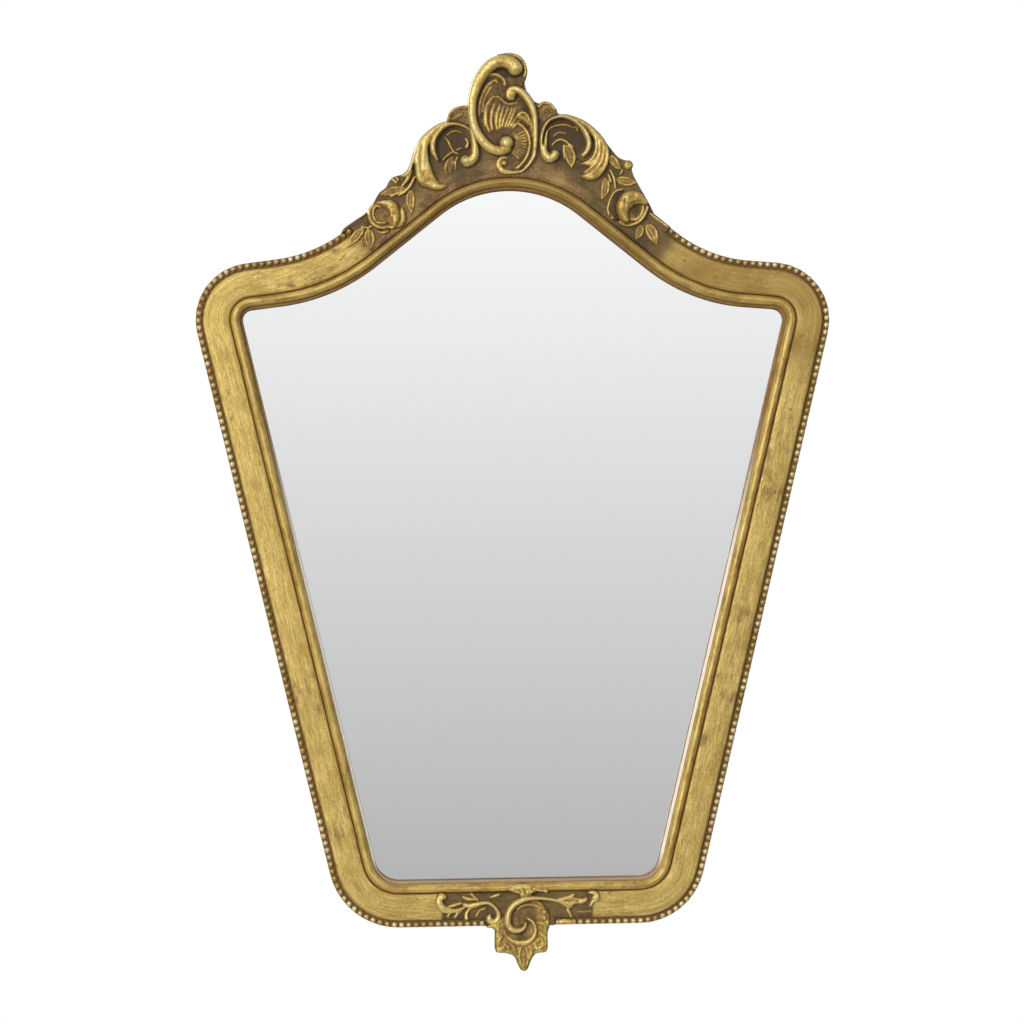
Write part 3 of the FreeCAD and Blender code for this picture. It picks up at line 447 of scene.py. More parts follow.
def gilt_band():
    """Leaf on the flat band: streaked along the run, smudged, dotted, and darkened along its edges by dirt
    and painted shade.
    """
    finish = Finish("gilt_band")
    run = finish.run()
    brushed = finish.streaks(run, 85.0, 1050.0, 3.0, 0.6)
    strokes = finish.streaks(run, 34.0, 260.0, 4.0, 0.65)
    ticks = finish.streaks(run, 170.0, 520.0, 3.0, 0.6)
    smears = finish.streaks(run, 55.0, 110.0, 5.0, 0.7)
    place = finish.place()
    clouds = finish.noise(place, 42.0, 5.0, 0.65)
    patches = finish.noise(place, 13.0, 3.0, 0.6)
    grain = finish.noise(place, 560.0, 3.0, 0.65)
    shade = finish.blend(((brushed, 0.9), (strokes, 0.55), (grain, 0.5), (clouds, 0.55)))
    gold = finish.mix(finish.band(shade, -0.16, 0.14), LEAF_DEEP, LEAF_GOLD)
    gold = finish.mix(finish.band(shade, 0.08, 0.28, 0.0, 0.8), gold, LEAF_LIGHT)
    # the right shoulder of the crest rail is painted browner: painted shade where the rail turns away from
    # the light, mottled by noise
    blotch_noise = finish.blend(((clouds, 1.0), (patches, 0.8), (grain, 0.8)))
    right = finish.band(finish.axis(place, "X"), 0.085, 0.115)
    high = finish.band(finish.axis(place, "Z"), -0.2, -0.16)
    shoulder_shade = finish.maths("MULTIPLY", right, high, finish.band(blotch_noise, -0.2, 0.2, 0.3, 0.95))
    gold = finish.mix(shoulder_shade, gold, tone(158, 123, 62))
    worn = finish.blend(((patches, 1.0), (smears, 1.5), (clouds, 0.6)))
    smudge = finish.band(worn, 0.07, 0.38, 0.0, 0.85)
    gold = finish.mix(smudge, gold, SMUDGE)
    dots = finish.blend(((ticks, 1.0), (smears, 0.45), (patches, 0.25)))
    gold = finish.mix(finish.band(dots, 0.115, 0.21, 0.0, 0.65), gold, tone(116, 88, 40))
    # grime and painted shade along the band's edges and in the quirk, made ragged by noise
    edge = finish.blend(((clouds, 0.9), (smears, 1.0), (grain, 0.45)), finish.attribute("grime"))
    grime_and_shade_mask = finish.band(edge, 0.35, 1.0)
    # the crest's dark ground, rubbed back to leaf along the sight moulding left of the top
    at_crest = finish.band(finish.axis(place, "Z"), -0.3, -0.2)
    left_of_top = finish.band(finish.axis(place, "X"), 0.06, 0.034)
    inner = finish.band(finish.attribute("out"), 0.025, 0.013)
    near_sight = finish.maths("MULTIPLY", inner, at_crest, left_of_top)
    mottle = finish.blend(((clouds, 1.0), (grain, 0.6), (strokes, 0.5)))
    ground = finish.mix(finish.band(mottle, -0.2, 0.2), GROUND_DARK, GROUND_LIGHT)
    rubbed = finish.mix(finish.band(mottle, -0.2, 0.14), tone(96, 74, 40), tone(156, 122, 78))
    rubbed = finish.mix(finish.band(mottle, 0.04, 0.3, 0.0, 0.85), rubbed, tone(180, 146, 82))
    ground = in_scroll_eyes(finish, place, finish.mix(near_sight, ground, rubbed))
    toned = finish.attribute("toned")
    gold = finish.mix(grime_and_shade_mask, gold, QUIRK)
    gold = finish.mix(finish.band(finish.blend(((clouds, 0.5),), toned), 0.1, 0.7), gold, ground)
    colour, back = raw_behind(finish, place, strokes, gold)
    dull = finish.maths("MAXIMUM", grime_and_shade_mask, toned, back, smudge)
    surface = finish.blend(((brushed, 0.8), (grain, 0.8), (strokes, 0.6)))
    return finish.end(
        Base_Color=colour, Metallic=finish.band(dull, 0.0, 1.0, 0.5, 0.12),
        Roughness=finish.band(dull, 0.0, 1.0, 0.46, 0.66), Normal=finish.bump(surface, 0.4, 0.0007),
    )


def gilt_sight():
    """Leaf on the sight moulding, rubbed and blotched along its crown, brown with dirt and painted shade in
    the quirk and down its flanks.
    """
    finish = Finish("gilt_sight")
    run = finish.run()
    brushed = finish.streaks(run, 60.0, 900.0)
    smears = finish.streaks(run, 46.0, 190.0, 5.0, 0.7)
    blotches = finish.streaks(run, 130.0, 330.0, 4.0, 0.65)
    place = finish.place()
    clouds = finish.noise(place, 42.0, 4.0, 0.6)
    grain = finish.noise(place, 520.0, 3.0, 0.7)
    shade = finish.blend(((brushed, 0.7), (clouds, 0.7), (smears, 0.7), (blotches, 0.7), (grain, 0.5)))
    gold = finish.mix(finish.band(shade, -0.3, 0.2), tone(162, 129, 64), LEAF_GOLD)
    gold = finish.mix(finish.band(shade, 0.14, 0.4, 0.0, 0.7), gold, LEAF_LIGHT)
    worn = finish.blend(((smears, 1.2), (blotches, 1.0)))
    gold = finish.mix(finish.band(worn, 0.16, 0.4, 0.0, 0.8), gold, SMUDGE)
    # grime and painted shade on the inner edge, in the quirk and down the round's flanks
    grime = finish.attribute("grime")
    edge = finish.blend(((clouds, 0.9), (smears, 1.0), (blotches, 0.8), (grain, 0.4)), grime)
    grime_and_shade_mask = finish.band(edge, 0.3, 0.95)
    crest = finish.band(finish.axis(place, "Z"), -0.3, -0.2)
    toned = finish.maths("MULTIPLY", finish.attribute("toned"), crest)
    gold = finish.mix(finish.band(toned, 0.0, 1.0, 0.0, 0.6), gold, tone(156, 123, 64))
    ragged = finish.blend(((smears, 1.2), (blotches, 1.0)), finish.attribute("wall"))
    bare = finish.maths("MULTIPLY", finish.band(ragged, 0.3, 0.6), finish.attribute("pale"))
    colour = finish.mix(bare, finish.mix(grime_and_shade_mask, gold, QUIRK), GESSO)
    dull = finish.maths("MAXIMUM", grime_and_shade_mask, bare)
    surface = finish.blend(((grain, 0.7), (blotches, 1.0)))
    return finish.end(
        Base_Color=colour, Metallic=finish.band(dull, 0.0, 1.0, 0.55, 0.1),
        Roughness=finish.band(dull, 0.0, 1.0, 0.46, 0.7), Normal=finish.bump(surface, 0.4, 0.0007),
    )


def gilt_bead():
    """Leaf rubbed bright on the beads' crowns, brown wash and painted shade between them."""
    finish = Finish("gilt_bead")
    place = finish.place()
    grain = finish.noise(place, 420.0, 3.0)
    clouds = finish.noise(place, 60.0, 3.0)
    ragged = finish.maths("MULTIPLY", finish.maths("SUBTRACT", grain, 0.5), 0.0014)
    # painted shade with brown wash on all that lies further back than the beads' crowns
    sunk_shade_and_wash = finish.band(finish.maths("ADD", finish.axis(place, "Y"), ragged), -0.0202, -0.0188)
    gold = finish.mix(finish.band(clouds, 0.38, 0.62), LEAF_DEEP, tone(236, 214, 158))
    return finish.end(
        Base_Color=finish.mix(sunk_shade_and_wash, gold, tone(116, 86, 43)), Metallic=finish.band(sunk_shade_and_wash, 0.0, 1.0, 0.6, 0.1),
        Roughness=finish.band(sunk_shade_and_wash, 0.0, 1.0, 0.42, 0.75), Normal=finish.bump(grain, 0.25, 0.0003),
    )


def gilt_carving():
    """Leaf on the carving: rubbed bright, with painted highlight, on the crests; brown wash and painted shade
    lying in the hollows and down the flanks, darkest in the crevices.
    """
    finish = Finish("gilt_carving")
    place = finish.place()
    clouds = finish.noise(place, 90.0, 4.0, 0.65)
    grain = finish.noise(place, 420.0, 4.0, 0.7)
    flecks = finish.noise(place, 900.0, 3.0, 0.6)
    crown = finish.blend(((clouds, 1.2), (grain, 1.3), (flecks, 0.8)), finish.attribute("crown"))
    colour = finish.mix(finish.band(crown, -0.7, -0.2), CREVICE_SHADE_AND_WASH, UMBER)
    colour = finish.mix(finish.band(crown, -0.3, 0.15), colour, WASH_AND_SHADE_BROWN)
    colour = finish.mix(finish.band(crown, 0.1, 0.45), colour, tone(184, 150, 75))
    colour = finish.mix(finish.band(crown, 0.4, 0.72), colour, tone(220, 190, 108))
    colour = finish.mix(finish.band(crown, 0.7, 1.1, 0.0, 0.7), colour, LEAF_LIGHT)
    bright = finish.band(crown, -0.1, 0.5)
    return finish.end(
        Base_Color=colour, Metallic=finish.band(bright, 0.0, 1.0, 0.15, 0.65),
        Roughness=finish.band(bright, 0.0, 1.0, 0.62, 0.42),
        Normal=finish.bump(finish.blend(((grain, 1.0), (flecks, 0.5))), 0.45, 0.0008),
    )


def crest_ground():
    """Dark wash over leaf on the crest board's face, raw wood behind."""
    finish = Finish("crest_ground")
    place = finish.place()
    clouds = finish.noise(place, 55.0, 5.0, 0.65)
    grain = finish.noise(place, 420.0, 3.0, 0.7)
    mottle = finish.blend(((clouds, 1.1), (grain, 0.7)))
    colour = finish.mix(finish.band(mottle, -0.25, 0.2), GROUND_DARK, GROUND_LIGHT)
    colour = in_scroll_eyes(finish, place, colour)
    strokes = finish.noise(finish.scaled(place, (12.0, 90.0, 260.0)), 1.0, 4.0, 0.6)
    colour, back = raw_behind(finish, place, strokes, colour)
    return finish.end(
        Base_Color=colour, Metallic=finish.band(back, 0.0, 1.0, 0.2, 0.0),
        Roughness=finish.band(back, 0.0, 1.0, 0.55, 0.8), Normal=finish.bump(grain, 0.4, 0.0006),
    )


def mirror_silver():
    """Silvered glass with the faintest cloudiness."""
    finish = Finish("mirror_silver")
    haze = finish.noise(finish.place(), 9.0, 2.0)
    return finish.end(
        Base_Color=(0.985, 0.99, 0.99, 1.0), Metallic=1.0, Roughness=finish.band(haze, 0.3, 0.8, 0.012, 0.03),
    )


def hardboard():
    """Pressed board, fibrous and a little clouded."""
    finish = Finish("hardboard")
    place = finish.place()
    fibres = finish.noise(finish.scaled(place, (1500.0, 300.0, 700.0)), 1.0, 4.0, 0.7)
    clouds = finish.noise(place, 14.0, 5.0, 0.6)
    colour = finish.mix(finish.band(fibres, 0.25, 0.75), tone(128, 94, 64), tone(158, 120, 84))
    colour = finish.mix(finish.band(clouds, 0.4, 0.75, 0.0, 0.6), colour, tone(120, 90, 64))
    return finish.end(Base_Color=colour, Roughness=finish.band(fibres, 0.2, 0.8, 0.6, 0.85),
                      Normal=finish.bump(fibres, 0.2, 0.0003))


def plain_wood():
    """Bare wood with its rings."""
    finish = Finish("plain_wood")
    rings = finish.noise(finish.place((30.0, 30.0, 300.0)), 1.0, 4.0)
    colour = finish.mix(finish.band(rings, 0.3, 0.7), RAW_WOOD, tone(150, 112, 72))
    return finish.end(Base_Color=colour, Roughness=finish.band(rings, 0.2, 0.8, 0.55, 0.75),
                      Normal=finish.bump(rings, 0.2, 0.0004))


def grey_board():
    """Grey card."""
    finish = Finish("grey_board")
    fibres = finish.noise(finish.place(), 260.0, 4.0, 0.7)
    colour = finish.mix(finish.band(fibres, 0.3, 0.7), tone(150, 138, 120), tone(188, 176, 156))
    return finish.end(Base_Color=colour, Roughness=finish.band(fibres, 0.2, 0.8, 0.8, 0.95))


def aged_brass():
    """Brass, scratched and tarnished in spots."""
    finish = Finish("aged_brass")
    place = finish.place()
    blotch_noise = finish.noise(place, 240.0, 4.0, 0.6)
    scratch = finish.noise(finish.place((900.0, 60.0, 60.0)), 1.0, 2.0)
    colour = finish.mix(finish.band(blotch_noise, 0.4, 0.68), tone(222, 186, 112), tone(158, 120, 66))
    return finish.end(Base_Color=colour, Metallic=0.7, Roughness=finish.band(blotch_noise, 0.3, 0.75, 0.3, 0.5),
                      Normal=finish.bump(scratch, 0.12, 0.0003))


def soft_rubber():
    """Dark rubber."""
    finish = Finish("soft_rubber")
    grain = finish.noise(finish.place(), 700.0, 3.0)
    colour = finish.mix(finish.band(grain, 0.3, 0.7), tone(38, 34, 30), tone(58, 52, 46))
    return finish.end(Base_Color=colour, Roughness=finish.band(grain, 0.2, 0.8, 0.75, 0.95),
                      Normal=finish.bump(grain, 0.3, 0.0003))


BAND_FINISH = gilt_band()
SIGHT_FINISH = gilt_sight()
BEAD_FINISH = gilt_bead()
CARVING_FINISH = gilt_carving()

# Sections, as rows of distance out, height, grime and painted shade, rise where the ledge is left out, and
# shown
# grime and painted shade: dark along the outer edge, on the bead ledge and in the quirk beside the sight
# moulding
MEMBER_ROWS = [
    (REBATE_WIDTH, 0.0, 0.2, 0, 0), (FRAME_WIDTH, 0.0, 0.2, 0, 0), (FRAME_WIDTH, 6.0, 0.3, 0, 0),
    (FRAME_WIDTH, 10.3, 0.8, 4.0, 0), (32.0, SEAT_HEIGHT, 1.0, 4.2, 0), (27.7, SEAT_HEIGHT, 1.0, 4.2, 0),
    (27.6, 13.0, 0.95, 2.0, 0), (27.3, 14.2, 0.8, 0.8, 0.5), (26.6, 14.85, 0.5, 0.2, 1),
    (25.6, 15.05, 0.32, 0, 1), (23.0, 15.15, 0.12, 0, 1), (18.0, 15.2, 0.0, 0, 1), (13.0, 15.15, 0.08, 0, 1),
    (10.4, 15.05, 0.3, 0, 1), (9.5, 14.85, 0.6, 0, 1), (8.95, 14.4, 0.9, 0, 0.5), (8.7, 13.6, 0.95, 0, 0),
    (8.7, SEAT_HEIGHT, 1.0, 0, 0),
    (0.0, SEAT_HEIGHT, 0.9, 0, 0), (0.0, REBATE_DEPTH, 1.0, 0, 0), (REBATE_WIDTH, REBATE_DEPTH, 0.2, 0, 0),
]
ROUND_MIDDLE, ROUND_FOOT, ROUND_HALF, ROUND_RISE = 5.2, 13.0, 3.25, 4.2
ROUND_STEPS = 14
# grime and painted shade: dark on the inner edge and in the quirk, and growing down both flanks of the round
# to its feet
SIGHT_ROWS = [
    (8.6, SEAT_HEIGHT, 1.0, 0, 0), (0.0, SEAT_HEIGHT, 0.9, 0, 0), (0.05, 12.1, 0.9, 0, 0),
    (0.3, 12.5, 0.8, 0, 0), (1.6, 12.6, 0.95, 0, 0),
]
for step in range(ROUND_STEPS + 1):
    angle = math.pi * (1 - step / ROUND_STEPS)
    height = math.sin(angle)
    SIGHT_ROWS.append((ROUND_MIDDLE + ROUND_HALF * math.cos(angle), ROUND_FOOT + ROUND_RISE * height,
                       0.9 * (1 - height) ** 2, 0, 1))
SIGHT_ROWS += [(8.5, 12.9, 1.0, 0, 0), (8.6, 12.7, 1.0, 0, 0)]
SIGHT_WALL = (1, 2, 3, 4)
STRIP_ROWS = [
    (-2.7, SEAT_HEIGHT, 1, 0, 0), (-2.7, 12.5, 1, 0, 0), (1.5, 12.7, 1, 0, 0), (1.95, 12.3, 1, 0, 0),
    (2.05, 11.6, 1, 0, 0), (2.05, SEAT_HEIGHT, 1, 0, 0),
]
member_section = section_object("member_section", MEMBER_ROWS)
sight_section = section_object("sight_section", SIGHT_ROWS, SIGHT_WALL)
strip_section = section_object("strip_section", STRIP_ROWS)
moulding_run = moulding_tree()
bead_row = bead_tree()

# Where the dark ground ends beside the middle, and where the bare inner wall shows, in millimetres
TONED_CREST = 108.0
TONED_FOOT = 56.0
TONED_FADE = 26.0
TONED_FOOT_FADE = 6.5
CREST_ABOVE = -200.0
FOOT_BELOW = -530.0
PALE_START = (200.0, 330.0)
PALE_END = (518.0, 532.0)
PALE_LOSS = 0.8
JOINT = 0.15


def frame_line(name, start, end, bare=None):
    """The line of a frame member with what its finish and ledge read at each point."""
    extra = [] if bare is None else [stop + side for stop in bare for side in (-JOINT, JOINT)]
    places, stations = along_frame(start, end, extra=extra)
    x, z = places[:, 0], places[:, 1]
    inside = np.zeros(len(x)) if bare is None else ((stations > bare[0]) & (stations < bare[1])).astype(float)
    crest_toned = 1 - smooth_step(np.abs(x), TONED_CREST - TONED_FADE, TONED_CREST)
    foot_toned = 1 - smooth_step(np.abs(x), TONED_FOOT - TONED_FOOT_FADE, TONED_FOOT)
    toned = np.where(z > CREST_ABOVE, crest_toned, np.where(z < FOOT_BELOW, foot_toned, 0.0))
    pale = smooth_step(-z, *PALE_START) * (1 - PALE_LOSS * smooth_step(-z, *PALE_END))
    spots = np.stack([x, np.full(len(x), -WALL_GAP), z], 1)
    return line_object(name, spots, False, along=stations * MM, bare=inside, toned=toned, pale=pale)


MEMBERS = {
    "crest_rail": (crest_start, crest_end, crest_bare), "right_stile": (crest_end, foot_start, None),
    "bottom_rail": (foot_start, foot_end, foot_bare), "left_stile": (foot_end, round_again, None),
}
for label, (start, end, bare) in MEMBERS.items():
    rail = settled(label + "_gilt", frame_line(label + "_line", start, end, bare), moulding_run, {
        "Section": member_section, "Unevenness": 0.00045, "Wave": 60.0, "Material": BAND_FINISH,
    })
    fitted(rail, "gilt_frame", label)
SIGHT_RUNS = {
    "sight_moulding_top": (crest_start, crest_end), "sight_moulding_right": (crest_end, foot_start),
    "sight_moulding_bottom": (foot_start, foot_end), "sight_moulding_left": (foot_end, round_again),
}
for label, (start, end) in SIGHT_RUNS.items():
    run = settled(label + "_gilt", frame_line(label + "_line", start, end), moulding_run, {
        "Section": sight_section, "Unevenness": 0.0005, "Wave": 75.0, "Material": SIGHT_FINISH,
    })
    fitted(run, "gilt_moulding", label)

BEAD_RUNS = {
    "bead_string_top_left": (crest_start, crest_bare[0]), "bead_string_top_right": (crest_bare[1], crest_end),
    "bead_string_right": (crest_end, foot_start), "bead_string_bottom_right": (foot_start, foot_bare[0]),
    "bead_string_bottom_left": (foot_bare[1], foot_end), "bead_string_left": (foot_end, round_again),
}
for seed, (label, (start, end)) in enumerate(BEAD_RUNS.items(), start=1):
    places = along_frame(start, end, BEAD_LINE)[0]
    length = np.linalg.norm(np.diff(places, axis=0), axis=1).sum()
    count = round(length / BEAD_PITCH)
    spots = np.stack([places[:, 0], np.full(len(places), -WALL_GAP), places[:, 1]], 1)
    string = settled(label + "_gilt", line_object(label + "_line", spots, False), bead_row, {
        "Section": strip_section, "Bead radius": BEAD_RADIUS * MM, "Bead height": BEAD_HEIGHT * MM,
        "Margin": length / count / 2 * MM, "Count": count, "Seed": seed, "Material": BEAD_FINISH,
    })
    fitted(string, "gilt_bead", label)
for section in (member_section, sight_section, strip_section):
    bpy.data.objects.remove(section)

# Carving: each piece is modelled as a height field over the front view, laid up form by form
RELIEF_STEP = 0.32
BOARD_STEP = 0.8
RELIEF_SINK = 1.2
TOOL_SOFTNESS = 0.4
UNEVEN_SPREAD = 0.9
UNEVEN_HEIGHT = 0.08
LEAST_HEIGHT = 0.06
# the walls down into the ground are darkened: painted shade on the carving's sides
WALL_CROWN = -0.3
OUTSIDE = -5.0
CARVED_ANGLE = 75.0
PENDANT_BACK = 5.0
CORE_TOP = -0.1
RAIL_SLOPE = 0.8
BOARD_LAP = 0.2
# Leaf where it was laid, less the wash over all, and what wear and painted shade do: spread and depth of the
# relief, share
LAID_SHARE = 0.9
LAID_SPREAD = 0.5
WASH_SHARE = 0.2
FINE_WEAR_AND_SHADE = (0.9, 0.6, 0.35)
BROAD_WEAR_AND_SHADE = (3.0, 1.6, 0.22)


def spline(points, closed=False, per_span=6):
    """A smooth line through given points."""
    spots = np.array(points, float)
    if closed:
        ends = np.vstack([spots[-1:], spots, spots[:2]])
    else:
        ends = np.vstack([2 * spots[0] - spots[1], spots, 2 * spots[-1] - spots[-2]])
    share = (np.arange(per_span) / per_span)[:, None]
    spans = []
    for a, b, c, d in zip(ends, ends[1:], ends[2:], ends[3:]):
        bend = share * (c - a) + share ** 2 * (2 * a - 5 * b + 4 * c - d)
        bend = bend + share ** 3 * (3 * b - a - 3 * c + d)
        spans.append(b + bend / 2)
    spans.append(spots[:1] if closed else spots[-1:])
    return np.vstack(spans)


def closed_in(flat, rims):
    """Triangles over the ground that the rims enclose, each rim with its ground to the left."""
    found = delaunay_2d_cdt(flat, rims, [], 0, 1e-7)
    same = {source: sources[0] for sources in found[3] for source in sources}
    rims = [(same[p], same[q]) for p, q in rims]
    walls = set(rims) | {(q, p) for p, q in rims}
    triangles = [[found[3][corner][0] for corner in triangle] for triangle in found[2]]
    beside = {}
    for number, (a, b, c) in enumerate(triangles):
        beside.update({(a, b): number, (b, c): number, (c, a): number})
    kept = {beside[side] for side in rims if side in beside}
    waiting = list(kept)
    while waiting:
        a, b, c = triangles[waiting.pop()]
        for p, q in ((a, b), (b, c), (c, a)):
            number = beside.get((q, p))
            if (p, q) not in walls and number is not None and number not in kept:
                kept.add(number)
                waiting.append(number)
    return [triangles[number] for number in sorted(kept)]


class Relief:
    """A carved piece in work: its height, its gilding, and how far inside its edge each point lies."""

    def __init__(self, origin, low, high, step=RELIEF_STEP):
        self.x, self.z = np.meshgrid(np.arange(low[0], high[0], step), np.arange(low[1], high[1], step))
        self.step = step
        self.height = np.zeros(self.x.shape)
        self.gilt = np.zeros(self.x.shape)
        self.cover = np.full(self.x.shape, OUTSIDE)
        self.origin = origin

    def window(self, line, reach):
        low, high = line.min(0) - reach, line.max(0) + reach
        columns = slice(*np.searchsorted(self.x[0], (low[0], high[0])))
        rows = slice(*np.searchsorted(self.z[:, 0], (low[1], high[1])))
        return rows, columns

    def lay(self, part, cover, height, gilt):
        """A form laid on what is there: only what stands higher shows, with its own gilding."""
        self.cover[part] = np.maximum(self.cover[part], cover)
        higher = (cover > 0) & (height > self.height[part])
        self.height[part] = np.where(higher, height, self.height[part])
        self.gilt[part] = np.where(higher, gilt, self.gilt[part])

    def near(self, line, part):
        """Distance to a line and share of the way along it, at each point of a part of the grid."""
        start, run = line[:-1], np.diff(line, axis=0)
        square = (run ** 2).sum(1)
        from_x = self.x[part][..., None] - start[:, 0]
        from_z = self.z[part][..., None] - start[:, 1]
        share = np.clip((from_x * run[:, 0] + from_z * run[:, 1]) / square, 0, 1)
        gap = np.hypot(from_x - share * run[:, 0], from_z - share * run[:, 1])
        nearest = gap.argmin(-1)
        pick = nearest[..., None]
        lengths = np.concatenate([[0.0], np.cumsum(np.sqrt(square))])
        travelled = lengths[nearest] + np.take_along_axis(share, pick, -1)[..., 0] * np.sqrt(square)[nearest]
        return np.take_along_axis(gap, pick, -1)[..., 0], travelled / lengths[-1]

    def roll(self, points, widths, heights, base=0.0, crest=0.32, gilt=1.0):
        """A rounded ridge along a line, with half widths and heights spread evenly along it."""
        line = spline(points)
        part = self.window(line, max(widths) + 1)
        gap, share = self.near(line, part)
        half = np.interp(share, np.linspace(0, 1, len(widths)), widths)
        top = np.interp(share, np.linspace(0, 1, len(heights)), heights)
        dome = np.clip(1 - (gap / half) ** 2, 0, 1)
        # the leaf dims towards the flanks: painted shade
        self.lay(part, half - gap, base + top * dome ** crest, gilt * (0.7 + 0.3 * dome))

    def stroke(self, points, width, rise):
        """A soft ridge along a line on what is there, or a cut where the rise is negative."""
        line = spline(points)
        part = self.window(line, width * 2.5)
        gap, share = self.near(line, part)
        ridge = np.clip(np.minimum(share, 1 - share) * 6, 0, 1) * np.exp(-(gap / width) ** 2)
        self.height[part] += rise * ridge
        # ridges brighten the leaf as painted highlight, cuts darken it as painted shade
        self.gilt[part] += np.clip(0.6 * rise, -0.7, 0.2) * ridge

    def dome(self, x, z, radius, height, base=0.0, crest=0.5, gilt=1.0):
        part = self.window(np.array([[x, z]]), radius + 1)
        gap = np.hypot(self.x[part] - x, self.z[part] - z)
        dome = np.clip(1 - (gap / radius) ** 2, 0, 1)
        # the leaf dims towards the rim: painted shade
        self.lay(part, radius - gap, base + height * dome ** crest, gilt * (0.6 + 0.4 * dome))

    def hollow(self, x, z, radius, depth, wash_and_shade=0.5):
        """A soft round hollow darkened with wash, and with painted shade where it stands for a shaded
        underside.
        """
        part = self.window(np.array([[x, z]]), radius * 2)
        bowl = np.exp(-(np.hypot(self.x[part] - x, self.z[part] - z) / radius) ** 4)
        self.height[part] -= depth * bowl
        self.gilt[part] -= wash_and_shade * bowl

    def plate(self, points, height, ease=1.0, gilt=0.0):
        """A flat or a cushion inside a closed line, rounded off towards its edge."""
        line = spline(points, closed=True)
        part = self.window(line, 1.5)
        gap = self.near(line, part)[0]
        x, z = self.x[part], self.z[part]
        inside = np.zeros(x.shape, bool)
        for (x0, z0), (x1, z1) in zip(line, line[1:]):
            if z0 != z1:
                inside ^= ((z0 > z) != (z1 > z)) & (x < (x1 - x0) * (z - z0) / (z1 - z0) + x0)
        cover = np.where(inside, gap, -gap)
        edge = np.clip(cover / ease, 0, 1)
        # the leaf dims towards the edge: painted shade
        self.lay(part, cover, height * np.sqrt(1 - (1 - edge) ** 2), gilt * (0.7 + 0.3 * edge))

    def leaf(self, points, width, height, base=0.0, gilt=0.8):
        """A leaf with a raised rim, a hollow face and a middle vein."""
        line = spline(points)
        part = self.window(line, width)
        gap, share = self.near(line, part)
        half = np.maximum(width / 2 * np.sin(np.pi * np.clip(share, 0.001, 0.999) ** 0.8) ** 0.75, 0.02)
        edge = np.clip(gap / half, 0, 1)
        rim = smooth_step(edge, 0.35, 0.8)
        vein = 0.2 * np.exp(-(gap / 0.6) ** 2)
        rise = (0.5 + 0.5 * rim + vein) * (1 - edge ** 6)
        bright = (0.3 + 0.6 * rim + vein) * (1 - 0.4 * edge ** 8)
        self.lay(part, half - gap, base + height * rise, gilt * bright)

    def softened(self, field, spread):
        """A field blurred over a spread in millimetres."""
        up = 2 * np.pi * np.fft.fftfreq(field.shape[0], self.step)[:, None]
        across = 2 * np.pi * np.fft.fftfreq(field.shape[1], self.step)[None, :]
        blur = np.exp(-0.5 * spread ** 2 * (up ** 2 + across ** 2))
        return np.real(np.fft.ifft2(np.fft.fft2(field) * blur))

    def carved(self, name, seed, back=-RELIEF_SINK, material=None):
        """The finished mesh: softened, a little uneven, walled down into the ground and closed behind."""
        uneven = self.softened(np.random.default_rng(seed).normal(size=self.x.shape), UNEVEN_SPREAD)
        height = self.softened(self.height, TOOL_SOFTNESS) + UNEVEN_HEIGHT * uneven / uneven.std()
        height = np.maximum(height, LEAST_HEIGHT)
        # leaf where it was laid, rubbed bright on what stands proud, wash and painted shade in what lies low
        crown = LAID_SHARE * self.softened(self.gilt, LAID_SPREAD)
        for spread, depth, share in (FINE_WEAR_AND_SHADE, BROAD_WEAR_AND_SHADE):
            crown = crown + share * ((height - self.softened(height, spread)) / depth)
        crown = crown - WASH_SHARE
        inside = self.cover > 0
        index = np.full(inside.shape, -1)
        index[inside] = np.arange(inside.sum())
        lower, upper = slice(None, -1), slice(1, None)
        corners = (lower, lower), (lower, upper), (upper, upper), (upper, lower)
        filled = sum(inside[corner].astype(int) for corner in corners)
        whole = filled == 4
        faces = np.stack([index[corner][whole] for corner in corners], 1).tolist()
        fields = np.stack([self.x, self.z, height, crown], -1)
        spots = fields[inside].tolist()
        crossings, rim = {}, []
        for row, column in np.argwhere((filled > 0) & (filled < 4)).tolist():
            ring = [(row, column), (row, column + 1), (row + 1, column + 1), (row + 1, column)]
            loop, leaving = [], []
            for here, there in zip(ring, ring[1:] + ring[:1]):
                if inside[here]:
                    loop.append(int(index[here]))
                if inside[here] == inside[there]:
                    continue
                key = (min(here, there), max(here, there))
                if key not in crossings:
                    share = self.cover[here] / (self.cover[here] - self.cover[there])
                    crossings[key] = len(spots)
                    spots.append((fields[here] + share * (fields[there] - fields[here])).tolist())
                if inside[here]:
                    leaving.append(len(loop))
                loop.append(crossings[key])
            faces.append(loop)
            rim += [(loop[i], loop[(i + 1) % len(loop)]) for i in leaving]
        below = {}
        for vertex in crossings.values():
            below[vertex] = len(spots)
            spots.append((*spots[vertex][:2], back, WALL_CROWN))
        faces += [(q, p, below[p], below[q]) for p, q in rim]
        outline = list(below)
        order = {vertex: place for place, vertex in enumerate(outline)}
        flat = [Vector(spots[vertex][:2]) for vertex in outline]
        closing = closed_in(flat, [(order[p], order[q]) for p, q in rim])
        faces += [[below[outline[corner]] for corner in reversed(triangle)] for triangle in closing]
        spots = np.array(spots)
        mesh = bpy.data.meshes.new(name)
        front = -(WALL_GAP + BAND_HEIGHT + spots[:, 2])
        places = np.stack([spots[:, 0] + self.origin[0], front, spots[:, 1] + self.origin[1]], 1) * MM
        mesh.from_pydata(places.tolist(), [], faces)
        layer = mesh.attributes.new("crown", "FLOAT", "POINT")
        layer.data.foreach_set("value", spots[:, 3].astype(np.float32))
        mesh.materials.append(material or CARVING_FINISH)
        return placed(name, mesh, sharp=CARVED_ANGLE)


